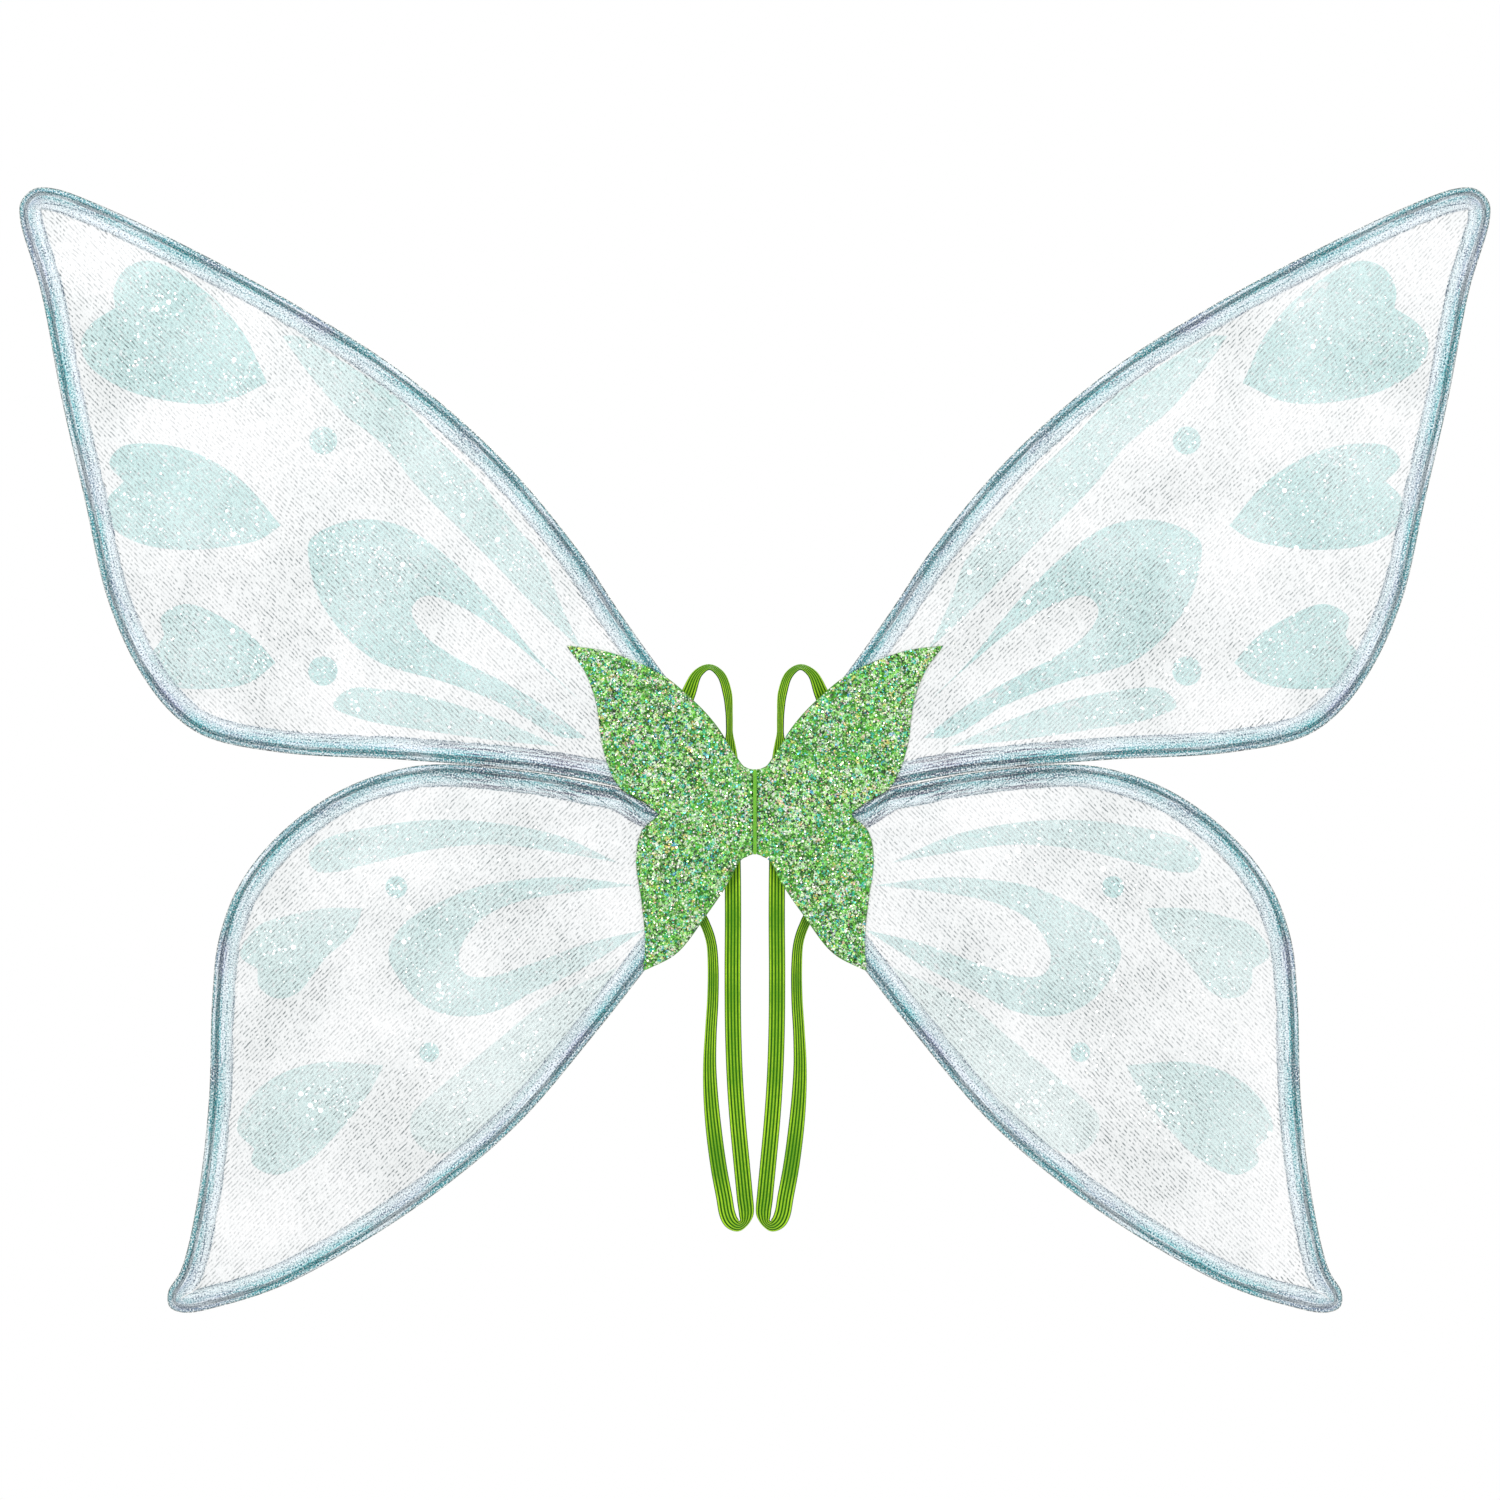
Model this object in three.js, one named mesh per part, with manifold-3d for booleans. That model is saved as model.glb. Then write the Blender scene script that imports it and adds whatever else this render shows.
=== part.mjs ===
// Costume fairy wings: four wire-framed wings on a butterfly-shaped glitter cover, with two
// elastic arm loops. Millimetres, +Z up. The wings stand in the XZ plane, the glitter cover
// faces -Y and the wearer's back is on the +Y side. The origin is the centre of the back pad's
// flat rear face, and the object mirrors about X = 0.

import * as THREE from 'three';
import { mergeVertices } from 'three/addons/utils/BufferGeometryUtils.js';
import Module from 'manifold-3d';

const wasm = await Module();
wasm.setup();

// Layers along Y, each as its face towards the wearer and its thickness.
const PAD = { y: 0, thick: 3 };
const STRAP = { y: -3.3, thick: 1, width: 10 };
const BACK_COVER = { y: -4.6, thick: 1 };
const CASING = { y: -6, thick: 5, width: 14 };
const MEMBRANE = { y: -8.1, thick: 0.8 };
const FRONT_COVER = { y: -11.4, thick: 1 };
const SPINE = { y: -3.3, thick: 8 };
const WELT = { y: -11.6, thick: 1.4 };

const WIRE_Y = CASING.y - CASING.thick / 2;
const WIRE_RADIUS = 1.3;
const CHANNEL_RADIUS = 2;
const WIRE_INSET = 4;
const WIRE_SIDES = 6;
const GAP = 0.3;

// Along X from the centre line: the spine, the wires' cut ends and the clip on them.
const SPINE_HALF_WIDTH = 2;
const WIRE_END = 7.5;
const CLIP_START = 8.5;
const CLIP_END = 11.6;

const SPINE_HALF_HEIGHT = 24;
const WELT_HALF_HEIGHT = 26;
const PAD_HALF_WIDTH = 21;
const PAD_HALF_HEIGHT = 25;
const PAD_CORNER = 8;
const CLIP_MARGIN = 3.2;

const SAMPLES_PER_SPAN = 2;
const STRAP_STEPS = 80;

// Each wing's outer edge as [distance from the centre line, height], from the root over the
// tip and back to the root, and the heights where its two wire ends meet the clip.
const WINGS = {
  upper: {
    edge: [
      [12, 24], [35, 57], [60, 90], [84, 124], [108, 160], [156, 217], [216, 269], [277, 308],
      [338, 341], [398, 370], [429, 381.3], [441, 381], [449, 373], [449.5, 362], [437, 319],
      [424, 252], [410, 191], [396, 130], [377, 87], [356, 59.5], [335, 45.5], [289, 36],
      [217, 31.8], [156, 26.9], [118, 22], [84, 15], [60, 7], [12, 2],
    ],
    wireEnds: [15, 6],
  },
  lower: {
    edge: [
      [12, -1], [45, -1.2], [66, 2.2], [76, 8], [84, 12.4], [96, 16], [120, 21.2], [156, 26],
      [192, 28.8], [217, 26.2], [253, 13.4], [289, -12], [315, -44], [328, -78], [332, -115],
      [334, -176], [341, -237], [351, -280], [359, -294], [358, -303], [349, -306.5], [325, -302],
      [289, -290], [241, -264], [192, -231], [144, -190], [96, -133.5], [72, -103], [50, -74],
      [12, -20],
    ],
    wireEnds: [-5, -11],
  },
};

// The cover's half outline, one lobe for each wing. Each lobe is a chain of smooth curves
// that meet at sharp corners: its pointed tip, the side notch, and the ends of the split
// between the lobes, which runs along the gap between the two wings.
const COVER_LOBES = {
  upper: [
    [[2.6, 26.1], [6.5, 27], [11, 32.5], [23.5, 52], [36, 66], [60, 85.5], [91, 97.8], [115, 101.4]],
    [[115, 101.4], [104, 86], [97, 67], [92.6, 38], [83, 15.5], [66, 4.8]],
    [[66, 4.8], [45, 2.8], [2.6, 0.7]],
  ],
  lower: [
    [[2.6, 0.1], [45, 2], [65.5, 3.9]],
    [[65.5, 3.9], [58.4, -1.8]],
    [[58.4, -1.8], [69, -12], [72.4, -29.3], [69.3, -54], [67, -78], [68.1, -97.1]],
    [[68.1, -97.1], [48, -86.2], [30, -63], [17.4, -44.6], [8.5, -29], [2.6, -26.6]],
  ],
};

// The left arm loop, from under the pad, up over the arch, down the outer leg, round the
// bottom and up the inner leg to the pad again, as [x, height].
const STRAP_ROUTE = [
  [-14, 2.5], [-14.2, 20], [-15.2, 36], [-15.6, 48], [-15.8, 60], [-17, 72], [-21, 82],
  [-27.8, 86], [-35, 82.5], [-40.5, 72], [-45.5, 60], [-50, 42], [-52.5, 20], [-52.5, 0],
  [-50, -20], [-44.5, -42], [-37, -58], [-30.5, -69], [-26.8, -80], [-25.6, -95],
  [-25.8, -115], [-27, -135], [-27.7, -155], [-27, -175], [-25, -197], [-22, -219],
  [-18.8, -236], [-17.4, -246], [-15.7, -250.2], [-11.5, -251.9], [-7.3, -250.2],
  [-5.6, -246], [-6.3, -236], [-8.2, -215], [-10.5, -190], [-12.2, -165], [-13.3, -135],
  [-13.6, -100], [-13.4, -65], [-13.6, -35], [-14, -15], [-14, -2.5],
];

const FINISH = {
  wire: { color: 0x59666c, roughness: 0.35, metalness: 1 },
  casing: { color: 0x8fa9b5, roughness: 0.4, metalness: 0.1 },
  membrane: { color: 0xf1f4f3, roughness: 0.35, metalness: 0, transparent: true, opacity: 0.5 },
  clip: { color: 0xb9bec2, roughness: 0.4, metalness: 1 },
  cover: { color: 0x4fa83a, roughness: 0.35, metalness: 0.3 },
  backing: { color: 0x5cb22e, roughness: 0.9, metalness: 0 },
  spine: { color: 0x4a9a28, roughness: 0.9, metalness: 0 },
  strap: { color: 0x6fbf00, roughness: 0.8, metalness: 0 },
};

const wings = new THREE.Group();

// ---- helpers ----

function addPiece(name, geometry, finish) {
  const mesh = new THREE.Mesh(geometry, new THREE.MeshStandardMaterial(finish));
  mesh.name = name;
  wings.add(mesh);
}

// Points of a smooth curve through the given [distance, height] pairs.
function smooth(points) {
  if (points.length < 3) return points.map(([a, z]) => new THREE.Vector2(a, z));
  const path = new THREE.CatmullRomCurve3(
    points.map(([a, z]) => new THREE.Vector3(a, z, 0)), false, 'centripetal');
  return path.getPoints(SAMPLES_PER_SPAN * (points.length - 1))
    .map((p) => new THREE.Vector2(p.x, p.y));
}

function distanceToOutline(point, outline) {
  const nearest = new THREE.Vector3();
  const target = new THREE.Vector3(point.x, point.y, 0);
  let best = Infinity;
  outline.forEach((start, i) => {
    const end = outline[(i + 1) % outline.length];
    const side = new THREE.Line3(
      new THREE.Vector3(start.x, start.y, 0), new THREE.Vector3(end.x, end.y, 0));
    side.closestPointToPoint(target, true, nearest);
    best = Math.min(best, nearest.distanceTo(target));
  });
  return best;
}

// The outline moved inwards by a distance. Points that would come closer to another side
// than that are dropped, so that narrow tips close cleanly.
function inset(outline, distance, closed) {
  const inwards = THREE.ShapeUtils.area(outline) > 0 ? 1 : -1;
  const tolerance = 0.1;
  const last = outline.length - 1;
  const moved = outline.map((point, i) => {
    const before = outline[closed ? (i + last) % outline.length : Math.max(i - 1, 0)];
    const after = outline[closed ? (i + 1) % outline.length : Math.min(i + 1, last)];
    const along = after.clone().sub(before).normalize();
    return new THREE.Vector2(-along.y, along.x).multiplyScalar(inwards * distance).add(point);
  });
  return moved.filter((point) => distanceToOutline(point, outline) > distance - tolerance);
}

// A flat plate in the XZ plane on the given side of the centre line.
function plate(outline, side, layer, hole = null) {
  const place = (points) => {
    const placed = points.map((p) => new THREE.Vector2(side * p.x, p.y));
    return THREE.ShapeUtils.isClockWise(placed) ? placed.reverse() : placed;
  };
  const shape = new THREE.Shape(place(outline));
  if (hole) shape.holes.push(new THREE.Path(place(hole)));
  const geometry = new THREE.ExtrudeGeometry(shape, { depth: layer.thick, bevelEnabled: false });
  geometry.rotateX(Math.PI / 2);
  geometry.translate(0, layer.y, 0);
  return geometry;
}

// A section swept along a route of [x, height] points at one depth, with one step for each
// share of the route's own points, so that tight bends get short steps.
function sweep(section, route, depth, steps) {
  const path = new THREE.CatmullRomCurve3(
    route.map((p) => new THREE.Vector3(p.x, depth, p.y)), false, 'centripetal');
  path.getUtoTmapping = (u) => u;
  return new THREE.ExtrudeGeometry(section, { steps, bevelEnabled: false, extrudePath: path });
}

function polygon(radius, sides) {
  const corners = Array.from({ length: sides }, (_, i) => {
    const angle = (2 * Math.PI * i) / sides;
    return new THREE.Vector2(radius * Math.cos(angle), radius * Math.sin(angle));
  });
  return new THREE.Shape(corners);
}

function rectangle(halfX, halfY) {
  return new THREE.Shape([
    new THREE.Vector2(-halfX, -halfY), new THREE.Vector2(halfX, -halfY),
    new THREE.Vector2(halfX, halfY), new THREE.Vector2(-halfX, halfY),
  ]);
}

function toSolid(geometry) {
  const bare = geometry.clone();
  bare.deleteAttribute('normal');
  bare.deleteAttribute('uv');
  const merged = mergeVertices(bare, 1e-4);
  return new wasm.Manifold(new wasm.Mesh({
    numProp: 3,
    vertProperties: new Float32Array(merged.attributes.position.array),
    triVerts: new Uint32Array(merged.index.array),
  }));
}

function cut(geometry, tool) {
  const mesh = toSolid(geometry).subtract(toSolid(tool)).getMesh();
  const result = new THREE.BufferGeometry();
  result.setAttribute('position', new THREE.BufferAttribute(mesh.vertProperties, 3));
  result.setIndex(new THREE.BufferAttribute(mesh.triVerts, 1));
  result.computeVertexNormals();
  return result;
}

// ---- one wing: wire loop, edge casing, membrane, clip on the wire ends ----

function wireRoute(edge, wireEnds, side) {
  const [first, last] = wireEnds.map((z) => new THREE.Vector2(WIRE_END, z));
  const loop = [first, ...inset(edge, WIRE_INSET, false), last];
  return loop.map((p) => new THREE.Vector2(side * p.x, p.y));
}

function addWing(level, hand, side) {
  const { edge, wireEnds } = WINGS[level];
  const outline = smooth(edge);
  const route = wireRoute(outline, wireEnds, side);
  const steps = route.length - 1;
  const channel = sweep(polygon(CHANNEL_RADIUS, WIRE_SIDES), route, WIRE_Y, steps);
  const name = `${level}_${hand}`;

  addPiece(`${name}_wire`, sweep(polygon(WIRE_RADIUS, WIRE_SIDES), route, WIRE_Y, steps),
    FINISH.wire);

  const window = inset(outline, CASING.width, true);
  addPiece(`${name}_casing`, cut(plate(outline, side, CASING, window), channel), FINISH.casing);

  const sheet = inset(window, GAP, true);
  addPiece(`${name}_membrane`, plate(sheet, side, MEMBRANE), FINISH.membrane);

  const low = Math.min(...wireEnds) - CLIP_MARGIN;
  const high = Math.max(...wireEnds) + CLIP_MARGIN;
  const clip = new THREE.BoxGeometry(CLIP_END - CLIP_START, CASING.thick, high - low);
  clip.translate(side * (CLIP_START + CLIP_END) / 2, WIRE_Y, (low + high) / 2);
  addPiece(`${name}_clip`, cut(clip, channel), FINISH.clip);
}

// ---- cover lobes, spine, welt, pad and straps ----

function addCoverLobes(level, hand, side) {
  const outline = COVER_LOBES[level].flatMap((curve) => smooth(curve).slice(0, -1));
  const name = `${level}_${hand}`;
  addPiece(`${name}_front_cover`, plate(outline, side, FRONT_COVER), FINISH.cover);
  addPiece(`${name}_back_cover`, plate(outline, side, BACK_COVER), FINISH.backing);
}

function addStrip(name, halfHeight, layer, finish) {
  const strip = new THREE.BoxGeometry(2 * SPINE_HALF_WIDTH, layer.thick, 2 * halfHeight);
  strip.translate(0, layer.y - layer.thick / 2, 0);
  addPiece(name, strip, finish);
}

function addPad() {
  const shape = new THREE.Shape();
  const x = PAD_HALF_WIDTH - PAD_CORNER;
  const z = PAD_HALF_HEIGHT - PAD_CORNER;
  shape.absarc(x, z, PAD_CORNER, 0, Math.PI / 2);
  shape.absarc(-x, z, PAD_CORNER, Math.PI / 2, Math.PI);
  shape.absarc(-x, -z, PAD_CORNER, Math.PI, 1.5 * Math.PI);
  shape.absarc(x, -z, PAD_CORNER, 1.5 * Math.PI, 2 * Math.PI);
  const arcSteps = 6;
  addPiece('back_pad', plate(shape.getPoints(arcSteps), 1, PAD), FINISH.backing);
}

function addStrap(hand, side) {
  const section = rectangle(STRAP.thick / 2, STRAP.width / 2);
  const route = STRAP_ROUTE.map(([x, z]) => new THREE.Vector2(-side * x, z));
  const depth = STRAP.y - STRAP.thick / 2;
  addPiece(`${hand}_strap`, sweep(section, route, depth, STRAP_STEPS), FINISH.strap);
}

for (const [hand, side] of [['left', -1], ['right', 1]]) {
  for (const level of ['upper', 'lower']) {
    addWing(level, hand, side);
    addCoverLobes(level, hand, side);
  }
  addStrap(hand, side);
}
addStrip('spine_core', SPINE_HALF_HEIGHT, SPINE, FINISH.spine);
addStrip('centre_welt', WELT_HALF_HEIGHT, WELT, FINISH.spine);
addPad();

export default wings;
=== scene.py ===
"""Costume fairy wings: sheer wings in organza casings over wire, a green glitter cover and two
ribbed elastic arm loops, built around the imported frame. Metres; the cover faces -Y."""
import math
import random

import bmesh
import bpy
import numpy as np
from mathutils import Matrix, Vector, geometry
from mathutils.bvhtree import BVHTree


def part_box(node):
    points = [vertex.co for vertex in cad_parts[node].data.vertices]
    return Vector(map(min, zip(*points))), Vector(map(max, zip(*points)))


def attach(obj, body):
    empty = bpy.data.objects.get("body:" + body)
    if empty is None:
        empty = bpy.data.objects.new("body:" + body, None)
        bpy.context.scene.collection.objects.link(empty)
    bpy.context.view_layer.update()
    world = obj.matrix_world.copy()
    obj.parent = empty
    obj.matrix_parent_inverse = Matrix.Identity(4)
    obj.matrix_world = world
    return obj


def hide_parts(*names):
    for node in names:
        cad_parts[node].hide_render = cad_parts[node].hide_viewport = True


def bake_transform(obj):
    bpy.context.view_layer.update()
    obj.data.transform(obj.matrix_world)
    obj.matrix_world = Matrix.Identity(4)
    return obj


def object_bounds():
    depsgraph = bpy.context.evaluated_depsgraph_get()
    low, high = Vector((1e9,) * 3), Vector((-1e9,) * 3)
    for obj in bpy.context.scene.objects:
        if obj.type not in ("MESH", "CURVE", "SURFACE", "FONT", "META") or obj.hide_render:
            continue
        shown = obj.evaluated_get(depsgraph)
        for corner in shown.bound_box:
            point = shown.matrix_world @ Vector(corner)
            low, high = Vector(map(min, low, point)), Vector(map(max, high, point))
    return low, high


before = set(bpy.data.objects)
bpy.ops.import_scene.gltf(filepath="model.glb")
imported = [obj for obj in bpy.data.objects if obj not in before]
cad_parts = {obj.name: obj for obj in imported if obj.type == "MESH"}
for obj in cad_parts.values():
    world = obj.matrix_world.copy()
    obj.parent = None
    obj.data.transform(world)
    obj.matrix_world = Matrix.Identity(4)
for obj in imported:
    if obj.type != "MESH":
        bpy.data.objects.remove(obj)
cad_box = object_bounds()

MM = 0.001
SIDES = {"left": -1, "right": 1}
LEVELS = ("upper", "lower")
# The two faces of a wing or a cover, as directions along Y.
FRONT, BACK = -1, 1


def middle_depth(node):
    """The middle of a CAD node's depth, in mm."""
    low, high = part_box(node)
    return (low[1] + high[1]) / 2 / MM


# The middle of the wings' thickness.
MID_Y = middle_depth("upper_left_casing")

# Distances in from a wing's edge, and other sizes of its frame and casing, in mm.
CASING_WIDTH = 14.0
WIRE_INSET = 4.0
WIRE_RADIUS = 1.3
# Where the strip's sewn-down edge shows as a dark line.
HEM_LINE = 13.4

# Each wing's outer edge, [distance from the centre line, height] in mm, root to root.
WING_EDGES = {
    "upper": [
        (12, 24), (35, 57), (60, 90), (84, 124), (108, 160), (156, 217), (216, 269), (277, 308),
        (338, 341), (398, 370), (429, 381.3), (441, 381), (449, 373), (449.5, 362), (437, 319),
        (424, 252), (410, 191), (396, 130), (377, 87), (356, 59.5), (335, 45.5), (289, 36),
        (217, 31.8), (156, 26.9), (118, 22), (84, 15), (60, 7), (12, 2),
    ],
    "lower": [
        (12, -1), (45, -1.2), (66, 2.2), (76, 8), (84, 12.4), (96, 16), (120, 21.2), (156, 26),
        (192, 28.8), (217, 26.2), (253, 13.4), (289, -12), (315, -44), (328, -78), (332, -115),
        (334, -176), (341, -237), (351, -280), (359, -294), (358, -303), (349, -306.5),
        (325, -302), (289, -290), (241, -264), (192, -231), (144, -190), (96, -133.5),
        (72, -103), (50, -74), (12, -20),
    ],
}
# Heights where the two wire ends meet the clip, WIRE_END from the centre line.
WIRE_END = 7.5
WIRE_END_HEIGHTS = {"upper": (15, 6), "lower": (-5, -11)}

# The cover's half outline as smooth curves between its sharp corners, in mm.
COVER_CURVES = [
    [(1.3, 26), (6.5, 27), (11, 32.5), (23.5, 52), (36, 66), (60, 85.5), (91, 97.8),
     (115, 101.4)],
    [(115, 101.4), (104, 86), (97, 67), (92.6, 38), (83, 15.5), (66, 4.8), (58.4, -1.8)],
    [(58.4, -1.8), (69, -12), (72.4, -29.3), (69.3, -54), (67, -78), (68.1, -97.1)],
    [(68.1, -97.1), (48, -86.2), (30, -63), (17.4, -44.6), (8.5, -29), (1.3, -26)],
]

# The left arm loop's route, [x, height] in mm, from under the pad round to the pad again.
STRAP_ROUTE = [
    (-14, 2.5), (-14.2, 20), (-15.2, 36), (-15.6, 48), (-15.8, 60), (-17, 73), (-21, 84),
    (-27.8, 88.6), (-35, 84.6), (-40.5, 73), (-45.5, 60), (-50, 42), (-52.5, 20), (-52.5, 0),
    (-50, -20), (-44.5, -42), (-37, -58), (-30.5, -69), (-26.8, -80), (-25.6, -95),
    (-25.8, -115), (-27, -135), (-27.7, -155), (-27, -175), (-25, -197), (-22, -219),
    (-18.8, -236), (-16.8, -246.6), (-14.4, -251.2), (-10.3, -253.6), (-6.7, -251.9),
    (-5.3, -247.2), (-6.2, -236), (-8.2, -215), (-10.5, -190), (-12.2, -165), (-13.3, -135),
    (-13.6, -100), (-13.4, -65), (-13.6, -35), (-14, -15), (-14, -2.5),
]
STRAP_WIDTH = 10.0
STRAP_THICK = 1.1

# Glitter-film shapes on each wing in mm: each is a list of smooth curves between its corners.
FILM_SHAPES = {
    "upper": {
        "tip_heart": [
            [(391, 308), (392, 319), (385, 332), (370, 337), (337, 319), (313, 293), (298, 262)],
            [(298, 262), (326, 250), (363, 252), (389, 260), (408, 274), (412, 287), (406, 298),
             (391, 308)],
        ],
        "middle_heart": [
            [(386, 202), (395, 213), (388, 223), (366, 225), (341, 219), (313, 202), (290, 175)],
            [(290, 175), (304, 166), (350, 160), (381, 166), (396, 178), (396, 191), (386, 202)],
        ],
        "small_heart": [
            [(361, 108), (363, 119), (348, 127), (324, 118), (305, 105), (293, 91)],
            [(293, 91), (309, 79), (336, 75), (359, 78), (371, 91), (361, 108)],
        ],
        "edge_leaf": [
            [(289, 291), (280, 291), (253, 276), (217, 252), (193, 227), (174, 209), (144, 172),
             (129, 154), (120, 130), (106, 99)],
            [(106, 99), (132, 123), (156, 148), (180, 172), (205, 197), (227, 224), (254, 246),
             (275, 271), (289, 291)],
        ],
        "horseshoe": [
            [(107, 68), (132, 93), (156, 123), (186, 154), (217, 175), (247, 178), (272, 166),
             (272, 150), (265, 128), (248, 105), (229, 91), (189, 79), (153, 65), (120, 46),
             (103, 45)],
            [(103, 45), (128, 64), (153, 79), (184, 95), (204, 110), (210, 124), (202, 132),
             (181, 126), (153, 108), (128, 87), (107, 68)],
        ],
        "root_leaf": [
            [(120, 40), (153, 55), (191, 68), (229, 75), (248, 75), (258, 65), (242, 57),
             (204, 50), (153, 43), (120, 40)],
        ],
    },
    "lower": {
        "edge_leaf": [
            [(84, -31), (119, -15), (157, -7), (197, -5), (232, -9), (263, -17), (273, -27),
             (269, -36), (258, -37), (232, -31), (197, -23), (159, -20), (119, -25), (84, -31)],
        ],
        "small_heart": [
            [(304, -96), (315, -88), (304, -70), (287, -64), (263, -59), (240, -59)],
            [(240, -59), (245, -73), (263, -90), (280, -111), (293, -114), (303, -107),
             (304, -96)],
        ],
        "horseshoe": [
            [(73, -45), (115, -40), (148, -42), (170, -46), (192, -55), (214, -68), (224, -86),
             (216, -104), (201, -119), (181, -125), (159, -122), (137, -111), (104, -95),
             (67, -72)],
            [(67, -72), (104, -81), (137, -93), (164, -101), (177, -99), (181, -88), (170, -68),
             (148, -56), (110, -49), (73, -45)],
        ],
        "tip_heart": [
            [(306, -206), (317, -194), (306, -172), (287, -159), (263, -153), (227, -155)],
            [(227, -155), (236, -172), (254, -195), (274, -214), (295, -222), (308, -214),
             (306, -206)],
        ],
        "root_leaf": [
            [(84, -95), (126, -115), (159, -141), (192, -168), (210, -186), (209, -199),
             (197, -209), (174, -202), (148, -179), (115, -144), (84, -95)],
        ],
    },
}
# Round film dots: distance, height and radius in mm.
FILM_DOTS = {"upper": [(264, 227, 8.5), (264, 86, 9)], "lower": [(219, -46, 6.7), (199, -147, 6)]}

FINE_STEP = 2.0
# Points whose distances are worked out together, to save memory.
CHUNK = 2000


# ---- plane geometry, in mm ----

def smooth(points, per_span=12):
    """Points of a smooth curve through the given ones."""
    knots = [np.array(p, float) for p in points]
    knots = [2 * knots[0] - knots[1], *knots, 2 * knots[-1] - knots[-2]]
    found = []
    for p0, p1, p2, p3 in zip(knots, knots[1:], knots[2:], knots[3:]):
        before, span, after = (math.sqrt(np.linalg.norm(b - a))
                               for a, b in ((p0, p1), (p1, p2), (p2, p3)))
        leave = ((p1 - p0) / before - (p2 - p0) / (before + span) + (p2 - p1) / span) * span
        arrive = ((p2 - p1) / span - (p3 - p1) / (span + after) + (p3 - p2) / after) * span
        for k in range(per_span):
            t = k / per_span
            found.append((2 * t**3 - 3 * t**2 + 1) * p1 + (t**3 - 2 * t**2 + t) * leave
                         + (3 * t**2 - 2 * t**3) * p2 + (t**3 - t**2) * arrive)
    found.append(knots[-2])
    return np.array(found)


def respaced(line, step):
    """The line again, with points about a step apart. Columns after the second go along."""
    along = run_lengths(line[:, :2])
    count = max(2, math.ceil(along[-1] / step) + 1)
    at = np.linspace(0, along[-1], count)
    return np.stack([np.interp(at, along, line[:, k]) for k in range(line.shape[1])], axis=1)


def soften(values, reach):
    """The values averaged over their neighbours, with the ends held."""
    kernel = np.hanning(reach)
    padded = np.pad(values, reach // 2, mode="edge")
    return np.convolve(padded, kernel / kernel.sum(), mode="valid")


def chain(curves, step=FINE_STEP):
    """A closed outline from smooth curves that meet at corners."""
    parts = [respaced(smooth(curve), step)[:-1] for curve in curves]
    return np.concatenate(parts)


def tangents(line):
    along = np.gradient(line, axis=0)
    return along / np.linalg.norm(along, axis=1)[:, None]


def run_lengths(line):
    """How far along the line each of its points is."""
    return np.concatenate([[0], np.cumsum(np.linalg.norm(np.diff(line, axis=0), axis=1))])


def inward_normals(line):
    x, z = line.T
    area = np.sum(x * np.roll(z, -1) - np.roll(x, -1) * z)
    along = tangents(line)
    return np.stack([-along[:, 1], along[:, 0]], axis=1) * np.sign(area)


def distance_to(points, outline):
    """How far each point is from the closed outline."""
    run = np.roll(outline, -1, axis=0) - outline
    best = np.full(len(points), np.inf)
    for first in range(0, len(points), CHUNK):
        p = points[first:first + CHUNK, None, :]
        t = ((p - outline) * run).sum(2) / np.maximum((run * run).sum(1), 1e-9)
        near = outline + np.clip(t, 0, 1)[..., None] * run
        best[first:first + CHUNK] = np.linalg.norm(p - near, axis=2).min(1)
    return best


def inside(points, outline):
    """Which points lie inside the outline."""
    x, z = points[:, 0, None], points[:, 1, None]
    x0, z0 = outline.T
    x1, z1 = np.roll(outline, -1, axis=0).T
    rise = np.where(z1 == z0, 1e-12, z1 - z0)
    crossing = ((z0 > z) != (z1 > z)) & (x < (x1 - x0) * (z - z0) / rise + x0)
    return crossing.sum(1) % 2 == 1


def fill(outline, spacing, turn=0.0):
    """A triangle mesh of the outline's inside: its own points first, then a grid of points."""
    spread = np.ptp(outline, axis=0).max()
    middle = (outline.max(0) + outline.min(0)) / 2
    count = int(spread / spacing) + 2
    rows = np.arange(-count, count + 1)
    across, up = np.meshgrid(rows * spacing, rows * spacing * math.sqrt(0.75))
    across = across + (np.arange(len(rows)) % 2)[:, None] * spacing / 2
    c, s = math.cos(turn), math.sin(turn)
    grid = np.stack([across.ravel() * c - up.ravel() * s,
                     across.ravel() * s + up.ravel() * c], axis=1) + middle
    grid = grid[(grid >= outline.min(0)).all(1) & (grid <= outline.max(0)).all(1)]
    grid = grid[inside(grid, outline)]
    grid = grid[distance_to(grid, outline) > 0.55 * spacing]
    points = np.concatenate([outline, grid])
    rim = [(i, (i + 1) % len(outline)) for i in range(len(outline))]
    result = geometry.delaunay_2d_cdt([tuple(p) for p in points], rim, [], 0, 1e-6)
    vertices, triangles = np.array([tuple(v) for v in result[0]]), np.array(result[2])
    triangles = triangles[inside(vertices[triangles].mean(1), outline)]
    a, b, c = (vertices[triangles[:, i]] for i in range(3))
    flipped = np.cross(b - a, c - a) < 0
    triangles[flipped] = triangles[flipped][:, ::-1]
    return vertices, triangles


# ---- meshes ----

def place(points, heights, side):
    """Wing-plane points in mm with their depths in mm, in metres on one side of the frame."""
    return np.stack([side * points[:, 0], heights, points[:, 1]], axis=1) * MM


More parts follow.
